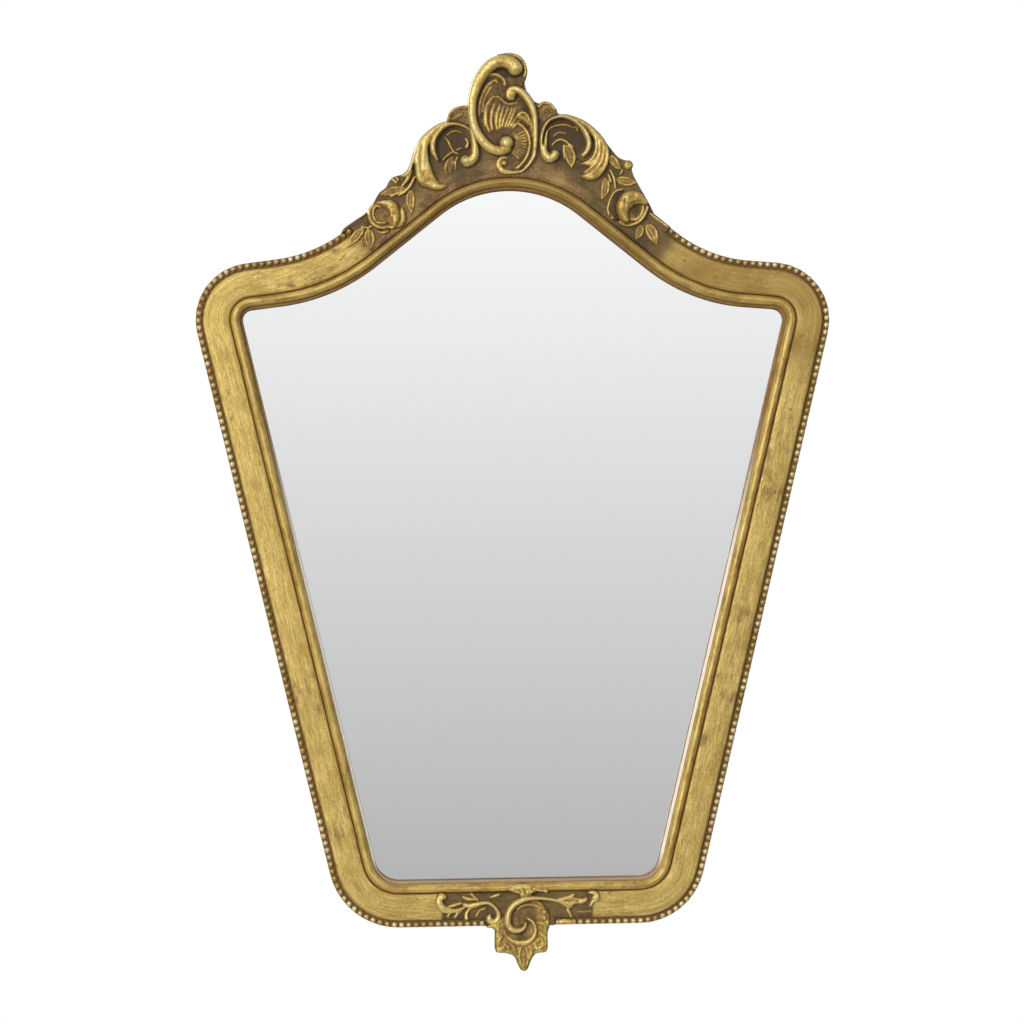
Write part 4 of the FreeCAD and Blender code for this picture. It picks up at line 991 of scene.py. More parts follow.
def carve_cartouche():
    """The cartouche: two scrolls round a shell, and a small volute below."""
    piece = Relief(CREST_TOP, (-33, -26), (26, 68))
    piece.plate([
        (-14, -4), (-20.5, 3), (-24.5, 13), (-25.5, 24), (-24, 36), (-19.5, 46), (-12.5, 56), (-5, 61.4),
        (1, 63), (6.4, 61.8), (10.4, 58.4), (12.8, 53.4), (13.1, 49), (12, 44.6), (10.2, 41), (10.2, 39),
        (14.5, 34.5), (18.5, 27.5), (20, 18), (20.3, 6), (18.8, -3.5), (16, -12), (11, -18.6), (5, -21.2),
        (-4, -21.2), (-8.4, -18), (-9.4, -14), (-7.6, -10.4), (-10, -7.5),
    ], 1.8, 1.3, -0.05)
    piece.roll([(-7, 60.8), (0.6, 61.6), (6.6, 60.2), (10.4, 56.4), (11.8, 51.6), (11.4, 46.6)],
               (1.2, 1.5, 1.5, 1.3, 1.1, 0.8), (1.6,), 1.2, gilt=0.6)
    # great scroll: clubbed head, body, and the boss that it ends in
    piece.roll([
        (4.4, 52.2), (1.8, 55), (-2, 56.4), (-6, 56.6), (-10, 55.5), (-14, 52.6), (-17.2, 49),
        (-20.2, 44.6), (-22.6, 39.8), (-24.3, 34.6), (-25.4, 29.4), (-25.8, 24), (-25.7, 19), (-24.9, 14),
        (-23.5, 9.6), (-21, 5), (-17.6, 0.6), (-13.6, -3), (-9.4, -4.8), (-5, -5), (-1.6, -3.6),
    ], (5.5, 5.1, 4.7, 4.5, 4.4, 4.3, 4.1, 4.0, 3.8, 3.6, 3.4, 3.3, 3.3, 3.3, 3.4, 3.5, 3.6, 3.6, 3.6,
        3.6, 3.4), (7.2, 7.0, 6.6, 6.2, 6.0, 5.8, 5.6, 5.4, 5.0), 0.6)
    piece.hollow(-6, 55.4, 4.0, 0.0, 0.3)
    piece.dome(4.6, 52.2, 5.5, 7.4, 0.6, 0.42)
    piece.dome(-1.9, 0.2, 5.1, 6.8, 0.6, 0.42)
    piece.stroke([(-8.2, -0.8), (-6.9, -3.8), (-3, -5.6), (2, -4.8)], 0.5, -0.5)
    # second scroll
    piece.roll([
        (2.6, 31.2), (0.2, 31.8), (-0.4, 34.4), (1.2, 37.2), (4.4, 37.6), (8, 36), (11.4, 32.8),
        (14.2, 28.8), (16.4, 24.2), (17.8, 19), (18.3, 13), (18.3, 7), (18.2, 1), (18, -3),
    ], (1.6, 2.1, 2.4, 2.6, 2.7, 2.7, 2.6, 2.5, 2.3, 2.2, 2.1, 2.0, 1.9, 1.7), (3.8, 4.8, 5.0, 4.6, 4.2),
       1.0, gilt=0.85)
    piece.dome(2.2, 34.2, 3.4, 4.8, 1.2, gilt=0.5)
    # rims of the lower lobe and its small volute
    piece.roll([(18, -4), (17.4, -8.4), (15.4, -12.2), (13, -15.6), (10.6, -18.2), (8.4, -19.6)],
               (1.6, 1.6, 1.4, 1.2, 1.0), (2.6, 2.2), 1.4)
    piece.roll([
        (7, -19.8), (3, -20.2), (-1.5, -20.1), (-5, -18.9), (-7, -16.4), (-7.4, -13.6), (-6.2, -11.2),
        (-4, -10), (-1.8, -10.2),
    ], (0.9, 1.1, 1.4, 1.8, 2.1, 2.1, 1.8, 1.3, 0.9), (1.6, 2.0, 2.6, 2.6, 2.2), 1.4)
    piece.dome(-3.6, -13.6, 2.1, 2.6, 1.4, gilt=0.8)
    piece.roll([
        (7.4, 13.2), (9.8, 11.4), (12.6, 7.8), (14.2, 3), (14.4, -2), (13, -7.4), (10.6, -12), (7.8, -15.2),
        (5.6, -17),
    ], (1.0,), (1.6,), 1.6, gilt=0.9)
    piece.roll([(7, 20), (8.6, 21.3), (11.2, 21), (13.4, 18.8), (15.2, 14.4), (16.2, 9.4), (16.5, 5)],
               (1.0,), (1.5,), 1.6, gilt=0.8)
    piece.roll([(7, 20), (8.4, 18.2), (10.6, 17.3), (12.6, 15.6), (13.8, 13)],
               (1.4, 2.0, 1.5, 0.7), (1.4,), 1.6, gilt=0.6)
    # pleats that fan round the boss
    for angle in np.linspace(36, -60, 10):
        ends = []
        for turn, reach in ((1.0, 7.4), (0.86, 14.2)):
            way = math.radians(angle * turn)
            ends.append((reach * math.cos(way) - 2.0, reach * math.sin(way) + 0.8))
        piece.roll(ends, (0.5, 0.7), (0.9, 1.2), 1.6, 0.5, 0.75)
    # shell flutes under their scalloped rim
    for points in (
        [(-14, 8.5), (-15.6, 14), (-15.8, 20), (-14.4, 26), (-11.6, 30.4)],
        [(-11.6, 9.6), (-12.4, 15), (-12, 21), (-9.8, 27.6)],
        [(-8.2, 10), (-8.8, 15), (-8, 20.6), (-6, 26.6)],
        [(-6.2, 11), (-6.2, 15.6), (-5, 20.6), (-3.4, 26)],
        [(-4.6, 11.4), (-3.8, 15.6), (-2.4, 19.6), (-0.4, 25)],
        [(-2.4, 11.4), (-1.2, 15.4), (0.6, 19.6), (2.4, 24.6)],
        [(-0.6, 11.6), (1.2, 15.6), (3.2, 20.6), (4.6, 24)], [(1.2, 11.4), (3.4, 15), (5.6, 18.6)],
        [(2.6, 10.6), (5, 13.2), (7.4, 16)],
    ):
        piece.roll(points, (0.9, 1.1, 1.0, 0.7), (1.2, 1.5, 1.0, 0.4), 1.6, 0.5, 0.85)
    piece.roll([
        (-16.4, 12), (-17, 18), (-16, 24.6), (-13.4, 29.6), (-10.2, 32.2), (-7, 32), (-4.4, 30),
        (-1.8, 27.8), (1.6, 27.4), (5.4, 28),
    ], (0.8,), (1.0, 1.4, 1.2), 1.6, gilt=0.65)
    # leaf blades inside the great scroll
    piece.roll([(-17, 42.4), (-14.4, 46), (-11, 47.8), (-8, 47.6), (-5, 46), (-3, 43.4), (-2.8, 40.6)],
               (0.8, 1.1, 0.9), (1.4, 1.8, 1.2), 1.6, gilt=0.9)
    piece.roll([(-13.4, 40.6), (-11.4, 43), (-9, 43.8), (-7.8, 42.2)], (0.8,), (1.2,), 1.6, gilt=0.7)
    piece.roll([(-20.6, 19), (-20.4, 26), (-18.8, 32.6), (-16.2, 37.6), (-13, 42)],
               (1.0, 1.2, 1.0), (1.2, 1.4, 1.0), 1.6, gilt=0.5)
    piece.roll([(-18.4, 22), (-17.6, 28.4), (-15.4, 34), (-12.6, 38.6)], (0.9,), (1.0,), 1.6, gilt=0.5)
    fitted(piece.carved("crest_cartouche_carved", seed=11), "gilt_carving", "crest_cartouche")


def carve_left_scroll():
    """The left acanthus scroll, with a sprig in its eye."""
    piece = Relief(CREST_TOP, (-82, -38), (-18, 31))
    piece.plate([
        (-43, 14.5), (-42, 19.5), (-39.4, 23.6), (-35.6, 25.4), (-29.5, 26), (-27, 18), (-29, 12.5),
        (-36, 13.5),
    ], 1.0, 0.9, 0.15)
    piece.roll([(-42.2, 15.6), (-41, 20), (-38.4, 23.2), (-35, 24.6), (-29.4, 25)],
               (1.0,), (1.2,), 0.8, gilt=0.45)
    piece.roll([(-39, 17), (-36, 18.6), (-32.6, 20.4)], (0.9,), (1.1,), 0.8, gilt=0.45)
    # body of the leaf scroll: shoulder, belly with its flared lip, and the tail towards the rose
    piece.plate([
        (-31, 11.8), (-36, 13.9), (-41, 15), (-44.6, 15.2), (-49.8, 13.2), (-54.8, 10), (-59.8, 5.6),
        (-63.2, 1.4), (-65.4, -3), (-67.2, -8), (-68.4, -12.5), (-69.8, -16.4), (-71.8, -20), (-75.4, -23),
        (-71.6, -24), (-68.2, -20.6), (-66.3, -15.6), (-65.9, -22), (-64, -27), (-61, -30), (-56.6, -31.5),
        (-52, -32.7), (-47, -32.4), (-43.2, -30.4), (-44.6, -28.4), (-48.4, -27.4), (-50.8, -24.4),
        (-52.8, -20.6), (-54.2, -16.4), (-55.2, -11), (-55.6, -5), (-54.8, 0), (-52.8, 4), (-50.2, 7.2),
        (-46.8, 10), (-43, 12), (-38.6, 12.8), (-34, 12),
    ], 5.2, 2.8, 1.1)
    # painted shade: the belly darkened where its lower part faces down, away from the light
    piece.hollow(-58, -25, 6.0, 0.0, 0.75)
    piece.stroke([(-61.4, 2), (-63.2, -4), (-63.9, -11), (-63.7, -18), (-62.6, -23)], 1.2, 0.7)
    piece.stroke([(-57.6, 3), (-59, -4), (-59.8, -10), (-59.8, -16)], 1.2, 0.7)
    piece.stroke([(-59.8, 0), (-61.1, -5), (-61.7, -12), (-61.3, -19)], 0.6, -0.7)
    piece.stroke([(-55, -15), (-53.4, -20.4), (-50.8, -25.4)], 0.8, 0.6)
    piece.stroke([(-54, -31), (-49, -30.4), (-44.6, -30)], 0.8, 0.5)
    piece.stroke([(-53.4, -26), (-50, -28.4), (-46, -28.8)], 0.6, -0.6)
    piece.stroke([(-66.4, -12), (-66.5, -17), (-66, -22), (-65.2, -27)], 0.6, -1.8)
    piece.stroke([(-65.6, -5), (-67.4, -11), (-69.2, -16.6), (-72, -21)], 0.5, -0.5)
    # rim of the volute and the tongue that it ends in
    piece.stroke([(-55.2, 0.6), (-55.9, -5), (-55.4, -11), (-54.6, -15.4)], 0.6, -1.5)
    piece.roll([
        (-26.4, 8.4), (-30, 11), (-34, 12.6), (-38.6, 13.2), (-43, 12.2), (-47, 9.6), (-50, 6.2),
        (-52.2, 2.6), (-53.2, -1.6), (-52.8, -6), (-50.8, -10), (-49.8, -12),
    ], (1.0, 1.0, 1.1, 1.2, 1.2, 1.3, 1.5, 1.9, 2.2, 2.2, 1.8, 0.8), (5.0, 5.4, 5.6, 5.6, 5.4, 4.8, 3.6),
       0.3)
    piece.roll([(-68.4, -19.6), (-71, -25.2), (-74.6, -29.8)],
               (1.4, 1.6, 1.0), (3.6, 3.4, 2.0), 0.2, gilt=0.9)
    piece.roll([(-66, -23.6), (-68.4, -28.6), (-71.6, -32.6), (-77, -36.2)],
               (1.0, 1.4, 1.4, 0.8), (3.0, 3.0, 2.4, 1.4), 0.2, gilt=0.85)
    # curl against the cartouche
    piece.roll([(-26.4, 8), (-25, 3), (-24, -2), (-23.8, -7), (-25.6, -11.2), (-29.4, -12.8)],
               (1.2, 1.7, 2.6, 3.1, 3.6, 4.0), (4.6, 5.0, 5.6, 5.8, 5.4, 5.0), 0.2, gilt=0.8)
    piece.dome(-29.8, -12, 4.2, 5.4, 0.2, 0.42, 0.8)
    piece.stroke([(-27.2, -4.6), (-27.4, -8), (-30, -9.2), (-32.4, -11)], 0.6, -0.9)
    piece.roll([(-30.2, 3.4), (-28.6, 0.6), (-29.4, -2.4)], (0.8, 1.1, 1.6), (1.8, 2.2, 2.8), 0.1, gilt=0.7)
    # sprig in the eye of the scroll
    for points in (
        [(-42.8, 6), (-40, 8), (-36.6, 8.6), (-32.8, 7.6)],
        [(-44.4, 4), (-42, 1), (-40.6, -2.6), (-38.4, -5.6)], [(-38.6, -5.6), (-42.6, -8), (-46, -11.4)],
        [(-41, -10.4), (-43.6, -13.4), (-44.4, -17.4), (-43.6, -21)],
        [(-36, -9.4), (-37.4, -13.4), (-37.2, -18.4)], [(-38.6, -6), (-35.4, -7.2)],
        [(-36.4, -4.4), (-33, -3.2)],
    ):
        piece.roll(points, (0.75, 0.95, 0.75), (1.2, 1.5, 1.1), 0.1, gilt=0.4)
    piece.leaf([(-39.4, -9), (-41, -14.6), (-40.8, -21)], 5.2, 1.4, gilt=0.2)
    fitted(piece.carved("crest_scroll_left_carved", seed=12), "gilt_carving", "crest_scroll_left")


def carve_right_scroll():
    """The right acanthus scroll, with a leaf in its eye."""
    piece = Relief(CREST_TOP, (17, -32), (76, 34))
    piece.plate([
        (20.2, 23), (21.6, 27.2), (25, 29.4), (28.4, 29), (31.4, 26.6), (34, 22), (30, 16.5), (24.5, 14),
        (21, 18),
    ], 1.0, 0.9, 0.15)
    piece.roll([(20.8, 25.4), (22.4, 27.4), (25.2, 28.5), (28.2, 28), (30.6, 26.2), (32.2, 23.4)],
               (1.0,), (1.2,), 0.8, gilt=0.45)
    piece.roll([(24.6, 24), (26.4, 25.6), (29, 25), (30, 22.6)], (0.8,), (1.0,), 0.8, gilt=0.4)
    # body of the leaf scroll, and the four points that it splits into
    # its leaf is set duller than the left scroll's body: painted shade for the side away from the light
    piece.plate([
        (30, 18), (34, 20), (39, 20.7), (45, 19.4), (52, 16.6), (58, 12.6), (63.6, 7.4), (67.6, 2),
        (70, -4), (70.3, -10.6), (69, -15.6), (66, -20), (62, -24.2), (57.6, -26), (53, -24.8),
        (50.4, -22.4), (54.4, -19.8), (56.4, -17), (50.8, -14), (55.6, -12.2), (58.6, -8.6), (59.6, -4),
        (59.4, 0.6), (57.6, 4.8), (54.4, 9), (50.4, 12.4), (46, 15.4), (41, 17.6), (36, 18.4),
    ], 4.6, 2.6, 0.6)
    piece.roll([(57.4, 9), (60.2, 3.4), (60.9, -3), (59.2, -9), (55.6, -12.5), (51, -14)],
               (0.8, 1.2, 1.5, 1.6, 1.5, 0.6), (4.4, 4.8, 5.0, 4.6, 3.4), 0.2, gilt=0.85)
    piece.roll([(61.6, 5), (63.4, -1), (63.2, -7.6), (60.8, -13), (57, -17.2), (52.6, -20)],
               (0.8, 1.2, 1.5, 1.6, 1.5, 0.7), (4.4, 4.9, 5.1, 4.7, 3.6), 0.2, gilt=0.8)
    piece.roll([(65, 2), (66.1, -4), (65.3, -10.6), (62.4, -16.2), (58.4, -20.6), (54, -23)],
               (0.8, 1.2, 1.5, 1.6, 1.5, 0.9), (4.4, 4.9, 5.1, 4.7, 3.6), 0.2, gilt=0.7)
    piece.roll([(67.6, -0.6), (68.9, -6), (68.4, -12), (65.8, -18), (61.8, -22.8), (58, -25)],
               (0.6, 1.1, 1.4, 1.5, 1.4, 0.8), (4.2, 4.7, 4.7, 4.3, 3.4), 0.2, gilt=0.9)
    piece.stroke([(44, 18), (52, 14.6), (58, 9.6), (62, 4.4)], 0.8, 0.3)
    # rim of the volute and the tongue that it ends in
    piece.stroke([(58.2, 6), (59.2, 1.4), (58.8, -3.4), (56.8, -7.4), (54, -10)], 0.6, -1.5)
    piece.roll([
        (22.6, -4), (22.4, 2), (23.4, 8), (26, 13.6), (30.4, 17.2), (36, 18.6), (41, 17.8), (46, 15.4),
        (50.6, 11.6), (53.8, 7), (55.6, 2), (55.6, -2.6), (53.8, -6.2), (51.8, -8),
    ], (1.3, 1.2, 1.2, 1.2, 1.1, 1.1, 1.2, 1.2, 1.5, 1.8, 2.1, 2.2, 2.1, 1.7),
       (4.6, 5.0, 5.6, 5.8, 5.4, 4.2), 0.3)
    piece.roll([(27, 9), (25.9, 5), (25.4, 0), (25, -4)], (0.9, 1.4, 1.9), (2.6, 3.4, 4.2), 0.2, gilt=0.8)
    piece.roll([(24.2, -2.6), (25, -7.4), (28.2, -10.4), (31.4, -9)],
               (2.2, 3.1, 3.4, 3.2), (4.6, 5.4, 5.8, 6.0), 0.2)
    piece.dome(32, -7.4, 3.4, 6.4, 0.2)
    # leaf and feather in the eye of the scroll
    piece.leaf([(39.6, -1), (42.8, -8), (44, -17)], 8.8, 2.2, gilt=0.75)
    piece.roll([(38.4, -1), (38.2, -5), (38.8, -9.8)], (0.9,), (1.8, 2.0, 1.4), 0.1, gilt=0.6)
    piece.roll([(30.4, -0.8), (33, 1.8), (36.4, 3), (39.6, 1.8), (42, 0), (45, -2.2)],
               (0.8, 1.0, 1.0, 0.8), (1.4, 1.8, 1.4), 0.1, gilt=0.7)
    piece.roll([(27, 9), (30, 11.6), (35, 13), (40, 13.3), (44, 12)],
               (0.8, 1.0, 1.0, 0.8), (1.2, 1.5, 1.1), 0.1, gilt=0.4)
    piece.roll([(45.4, 11.2), (47.2, 12), (48.2, 9.4)], (0.8,), (1.4,), 0.1, gilt=0.6)
    piece.roll([(31.6, 5.6), (35, 7.8), (39.4, 7.4)], (0.9,), (0.9,), 0.1, gilt=0.3)
    fitted(piece.carved("crest_scroll_right_carved", seed=13), "gilt_carving", "crest_scroll_right")


def carve_left_rose():
    """The left rose with its leaves."""
    piece = Relief(CREST_TOP, (-117, -79), (-60, -15))
    piece.dome(-87.4, -50, 10.8, 3.6, 0.0, 0.3, 0.35)
    piece.plate([
        (-75.6, -43.6), (-73, -46), (-71.9, -50), (-72.2, -54.4), (-74.6, -58), (-79, -59), (-78, -54),
        (-76.8, -48),
    ], 3.8, 2.2, 0.8)
    # great petal, then the rims that lap the heart
    piece.plate([
        (-94, -42), (-90, -39.9), (-86, -39), (-82, -39.2), (-78.8, -41), (-76.6, -44.6), (-75.4, -49),
        (-75.6, -54), (-78.6, -58.4), (-83, -58.4), (-84.8, -55), (-84.6, -50.4), (-85.6, -47.4),
        (-88, -45), (-91, -43),
    ], 6.2, 3.2, 0.55)
    piece.stroke([(-82.4, -52), (-81.6, -54.6), (-82, -57)], 1.0, -0.9)
    piece.stroke([(-88, -41.4), (-83.6, -42.4), (-81, -45)], 1.1, 0.4)
    piece.roll([
        (-94.6, -43), (-97, -46.4), (-97.6, -50), (-96.6, -53.8), (-94.4, -56.6), (-91.2, -58.4),
        (-87.6, -58.8), (-84.4, -57.8),
    ], (1.0, 1.3, 1.4, 1.4, 1.5, 1.5, 1.3, 1.0), (3.6, 4.2, 4.2, 3.8), 0.2, 0.4, 0.6)
    piece.roll([
        (-89.8, -44.6), (-92.4, -44), (-94.4, -46.4), (-94.9, -50.2), (-93.4, -53.8), (-90.6, -55.6),
        (-86.2, -55.2),
    ], (1.1, 1.4, 1.2, 1.2, 1.3, 1.3), (4.6, 5.0, 4.6, 4.4), 0.2, 0.4, 0.5)
    for points in (
        [(-98, -46), (-98, -50), (-97, -54)], [(-95.4, -56.4), (-92.6, -58.3), (-89.6, -59)],
        [(-94, -45), (-91.6, -43.8), (-89.6, -44.8)], [(-94.4, -51.6), (-92.8, -54.2)],
        [(-91.6, -55.3), (-88.6, -56), (-85.4, -55.2)],
    ):
        piece.stroke(points, 0.8, 0.45)
    piece.roll([(-88.6, -46.8), (-91.4, -47.2), (-92.8, -50), (-91.6, -52.8), (-88.6, -53.6), (-86.4, -52)],
               (0.9, 1.0, 0.9), (3.9,), 0.2, gilt=0.3)
    piece.dome(-89, -50, 2.0, 3.9, gilt=0.25)
    piece.roll([(-91.4, -61.4), (-87.8, -62.2), (-84.4, -61.2)], (0.9, 1.2, 0.9), (2.4,), gilt=0.7)
    piece.roll([(-83.4, -58.8), (-81, -58.8), (-79.4, -56.6)], (0.9,), (4.6,), gilt=0.8)
    # bud, leaves and stalks
    piece.roll([(-81.2, -25), (-78.8, -27.2)], (1.2,), (2.4,), gilt=0.9)
    piece.roll([(-78.6, -23.6), (-77.2, -25.8)], (0.9,), (2.0,), gilt=0.6)
    piece.leaf([(-71, -32), (-80, -33), (-90.4, -36)], 6.8, 2.0)
    piece.roll([(-72, -33), (-76.6, -34.4), (-82.4, -37.2)], (0.8,), (2.2, 2.2, 1.4), gilt=0.8)
    piece.leaf([(-68.4, -32), (-68.8, -40), (-68, -49.4)], 6.8, 2.0)
    piece.roll([(-71, -36), (-71.4, -39.4)], (0.7,), (1.8,), gilt=0.7)
    piece.leaf([(-101, -58.8), (-107, -65), (-112.8, -72.6)], 6.6, 2.1, gilt=0.95)
    piece.leaf([(-98, -59.4), (-97.4, -66), (-96.8, -74)], 8.2, 2.2)
    piece.roll([(-103.4, -67.6), (-101.6, -71.4)], (0.8,), (1.6,), gilt=0.5)
    piece.roll([(-103, -57.8), (-99, -58.8), (-96, -57.8)], (0.9,), (2.0,), gilt=0.6)
    fitted(piece.carved("rose_spray_left_carved", seed=14), "gilt_carving", "rose_spray_left")


def carve_right_rose():
    """The right rose with its leaves and bud."""
    piece = Relief(CREST_TOP, (59, -76), (113, -4))
    piece.plate([
        (79, -32), (74, -33.4), (70.4, -39), (68.8, -45), (69.6, -50.5), (76, -53.4), (77, -44), (79, -37),
    ], 1.2, 1.2, -0.1)
    piece.roll([
        (79.6, -31.8), (75.6, -32.4), (72.6, -35), (70.6, -39), (69.2, -43.4), (68.9, -46.4), (69.7, -49.4),
    ], (0.8,), (2.4,), 0.1)
    piece.dome(85.8, -45, 11.6, 3.4, 0.0, 0.3, 0.3)
    # great petal, then the rims that lap the heart
    piece.plate([
        (79.6, -55.2), (76, -51.8), (74.6, -46.4), (75, -40.8), (77.6, -36.2), (81.6, -33.2), (86.6, -32.4),
        (91.4, -33.6), (95.4, -37), (97.8, -41.8), (94.4, -42.8), (90.6, -42), (87.4, -42.6), (85.2, -44.8),
        (84.2, -48), (84.2, -51.6), (83.4, -55),
    ], 6.4, 3.4, 0.62)
    piece.hollow(79, -49, 4.6, 0.0, 0.35)
    piece.hollow(92, -37.6, 3.6, 0.0, 0.2)
    piece.stroke([(82.8, -35.4), (82.5, -38.6), (82.2, -41.4)], 1.2, 0.5)
    piece.stroke([(80.8, -38), (80.5, -42), (80.9, -47)], 0.5, -0.5)
    piece.roll([(84.6, -44.2), (87, -42), (91, -41.3), (95.4, -42)], (0.8,), (5.6,), gilt=0.9)
    piece.hollow(88.8, -47, 3.4, 1.0, 0.15)
    piece.roll([(93.6, -43.6), (93.1, -47), (91.6, -50.4), (88.8, -52.8), (85.4, -52.8)],
               (1.0, 1.3, 1.4, 1.1), (4.8,), 0.2)
    piece.roll([(96.7, -43.8), (95.9, -47), (93.6, -51.4), (90.2, -54.8), (85.4, -56.6)],
               (1.0, 1.3, 1.4, 1.2), (4.0, 4.0, 3.6), 0.2, gilt=0.7)
    piece.stroke([(96.9, -43.6), (96, -47)], 0.8, 0.5)
    piece.stroke([(90.4, -54.4), (88, -56), (85.6, -56.7)], 0.8, 0.45)
    piece.roll([(77.2, -54.6), (80, -56.4), (84, -57.2)], (1.0, 1.3, 1.0), (2.8,), gilt=0.6)
    piece.dome(72.2, -51.6, 1.2, 2.2)
    piece.dome(82.6, -53.4, 1.3, 6.0)
    # bud, leaves and stalks
    piece.leaf([(75, -24.4), (82, -26.2), (90, -26.9)], 7.4, 2.2)
    piece.leaf([(70.6, -7.6), (74, -13), (78.6, -18)], 6.4, 2.2)
    piece.stroke([(72.4, -13.4), (74.4, -16.8), (77.2, -18.2)], 0.8, 0.5)
    piece.dome(83.4, -14.8, 3.5, 3.0, 0.0, 0.4, 0.65)
    piece.stroke([(82.2, -12.6), (81.8, -15)], 0.7, 0.5)
    piece.stroke([(83.2, -17), (85.2, -15.6)], 0.7, 0.5)
    piece.roll([(79.4, -18.4), (78.2, -21)], (0.9,), (2.0,), gilt=0.8)
    piece.roll([(70.8, -18.4), (72.6, -22), (73.8, -26), (74.3, -31)],
               (0.8, 1.1, 0.9), (2.2, 2.4, 1.8), gilt=0.85)
    piece.roll([(69.6, -21.8), (71.3, -26.2)], (1.0,), (2.4,), gilt=0.9)
    piece.leaf([(67.4, -23.6), (67.6, -31), (64.8, -39)], 6.8, 2.0)
    piece.leaf([(96.4, -55.8), (100, -62), (103.6, -70.4)], 8.6, 2.3, gilt=1.0)
    piece.stroke([(101.6, -64), (103, -68)], 1.0, 0.4)
    piece.leaf([(92.4, -56), (91.4, -61), (89, -67)], 6.4, 2.0)
    piece.roll([(98.8, -48.4), (102.6, -51.6), (107, -54.9), (111, -57.6)],
               (0.7, 1.1, 1.2, 1.0), (1.2, 1.8, 1.6), 0.0, gilt=0.75)
    fitted(piece.carved("rose_spray_right_carved", seed=15), "gilt_carving", "rose_spray_right")


def carve_foot_scrolls():
    """The sprays on the bottom rail."""
    left = Relief(FOOT_LOW, (-60, -1), (-9, 25))
    left.roll([
        (-50.6, 20), (-52.8, 20.6), (-54, 18.4), (-53.7, 15), (-51.6, 12.2), (-48, 10.9), (-43.6, 10.4),
        (-39.6, 11.2), (-36.6, 12.4),
    ], (2.0, 2.5, 3.0, 3.2, 2.9, 2.2, 1.7, 1.3, 0.9), (3.6, 4.4, 4.4, 4.0, 3.2, 2.4))
    left.dome(-51.9, 19.8, 2.3, 4.6)
    for points in (
        [(-48, 6.6), (-47, 8.6), (-45, 9.8)], [(-47.4, 13.4), (-43.4, 14.2), (-39, 15.4)],
        [(-43.2, 6), (-41.6, 8), (-39, 10)],
    ):
        left.roll(points, (1.1, 1.5, 1.0), (2.2, 2.6, 1.8), gilt=0.85)
    left.roll([(-35.2, 5), (-35.2, 8), (-33.4, 11), (-31, 13)], (1.6, 1.4, 1.3, 1.4), (2.6, 2.4, 2.4))
    left.roll([
        (-36.8, 14.6), (-33.4, 13.6), (-29.4, 14.2), (-24.4, 15.4), (-20, 15.5), (-16.6, 13.6),
        (-13.9, 10.4), (-12.7, 7), (-13.4, 4), (-16, 2.2), (-18.8, 2.6), (-19.8, 4.8), (-18.8, 6.6),
    ], (1.2, 2.0, 2.2, 1.8, 1.5, 1.4, 1.4, 1.5, 1.8, 2.2, 2.3, 2.0, 1.2), (2.6, 3.4, 3.6, 3.4, 3.2))
    left.dome(-18.8, 4.4, 2.2, 3.6)
    left.roll([(-37.2, 19.8), (-34.6, 18.6), (-31, 18), (-27, 17.4)],
              (1.2, 1.6, 1.3, 0.8), (2.4,), gilt=0.75)
    left.roll([(-31.6, 21.8), (-29.4, 19.6), (-26.4, 18)], (1.0, 1.3, 0.8), (2.2,), gilt=0.6)
    left.roll([(-28, 6.4), (-26.8, 8.8), (-25, 10.6), (-21.8, 11.8)], (1.0, 1.2, 0.9), (1.4,), gilt=0.5)
    left.roll([(-17.8, 19.2), (-15, 20.2), (-12.2, 21)], (1.0, 1.3, 1.0), (1.8,), gilt=0.7)
    fitted(left.carved("foot_scroll_left_carved", seed=16), "gilt_carving", "foot_scroll_left")
    right = Relief(FOOT_LOW, (26, -1), (61, 25))
    right.plate([
        (27, 17), (30, 18.8), (35, 19.8), (38.6, 21.4), (42, 21.2), (41, 19), (46, 18), (49.4, 18.6),
        (50, 15.6), (46, 13.6), (41, 13.4), (38.6, 10.6), (36.4, 11.4), (34, 13.4), (30, 15),
    ], 3.0, 1.8, 0.75)
    right.stroke([(32, 16), (38, 16.4), (46, 15.8)], 0.7, -0.6)
    right.stroke([(33, 18), (37, 19.2), (40.8, 20.6)], 0.8, 0.4)
    right.stroke([(32, 15.4), (35.6, 13.4), (37.6, 11.4)], 0.8, 0.4)
    right.roll([(35.6, 10), (37, 7.6), (38.4, 5)], (1.2, 1.5, 1.0), (2.4, 2.6, 1.8), gilt=0.85)
    right.roll([(53.2, 21.6), (55.6, 20.6), (56.6, 18.2), (55.2, 16.4), (53.4, 15.4), (51.8, 12.6)],
               (1.6, 2.0, 2.0, 1.8, 1.5, 1.2), (3.2, 3.6, 3.2, 2.2))
    right.dome(54.4, 18, 2.0, 3.8)
    right.dome(51.4, 21.5, 1.3, 2.4)
    right.roll([(30.8, 1.4), (34.2, 1.5), (38.2, 1.2)], (1.6, 1.8, 1.6), (1.0, 1.3, 1.0))
    right.roll([(43, 8.4), (47, 8), (52, 8.4)], (0.9,), (1.0,), gilt=0.4)
    fitted(right.carved("foot_scroll_right_carved", seed=17), "gilt_carving", "foot_scroll_right")


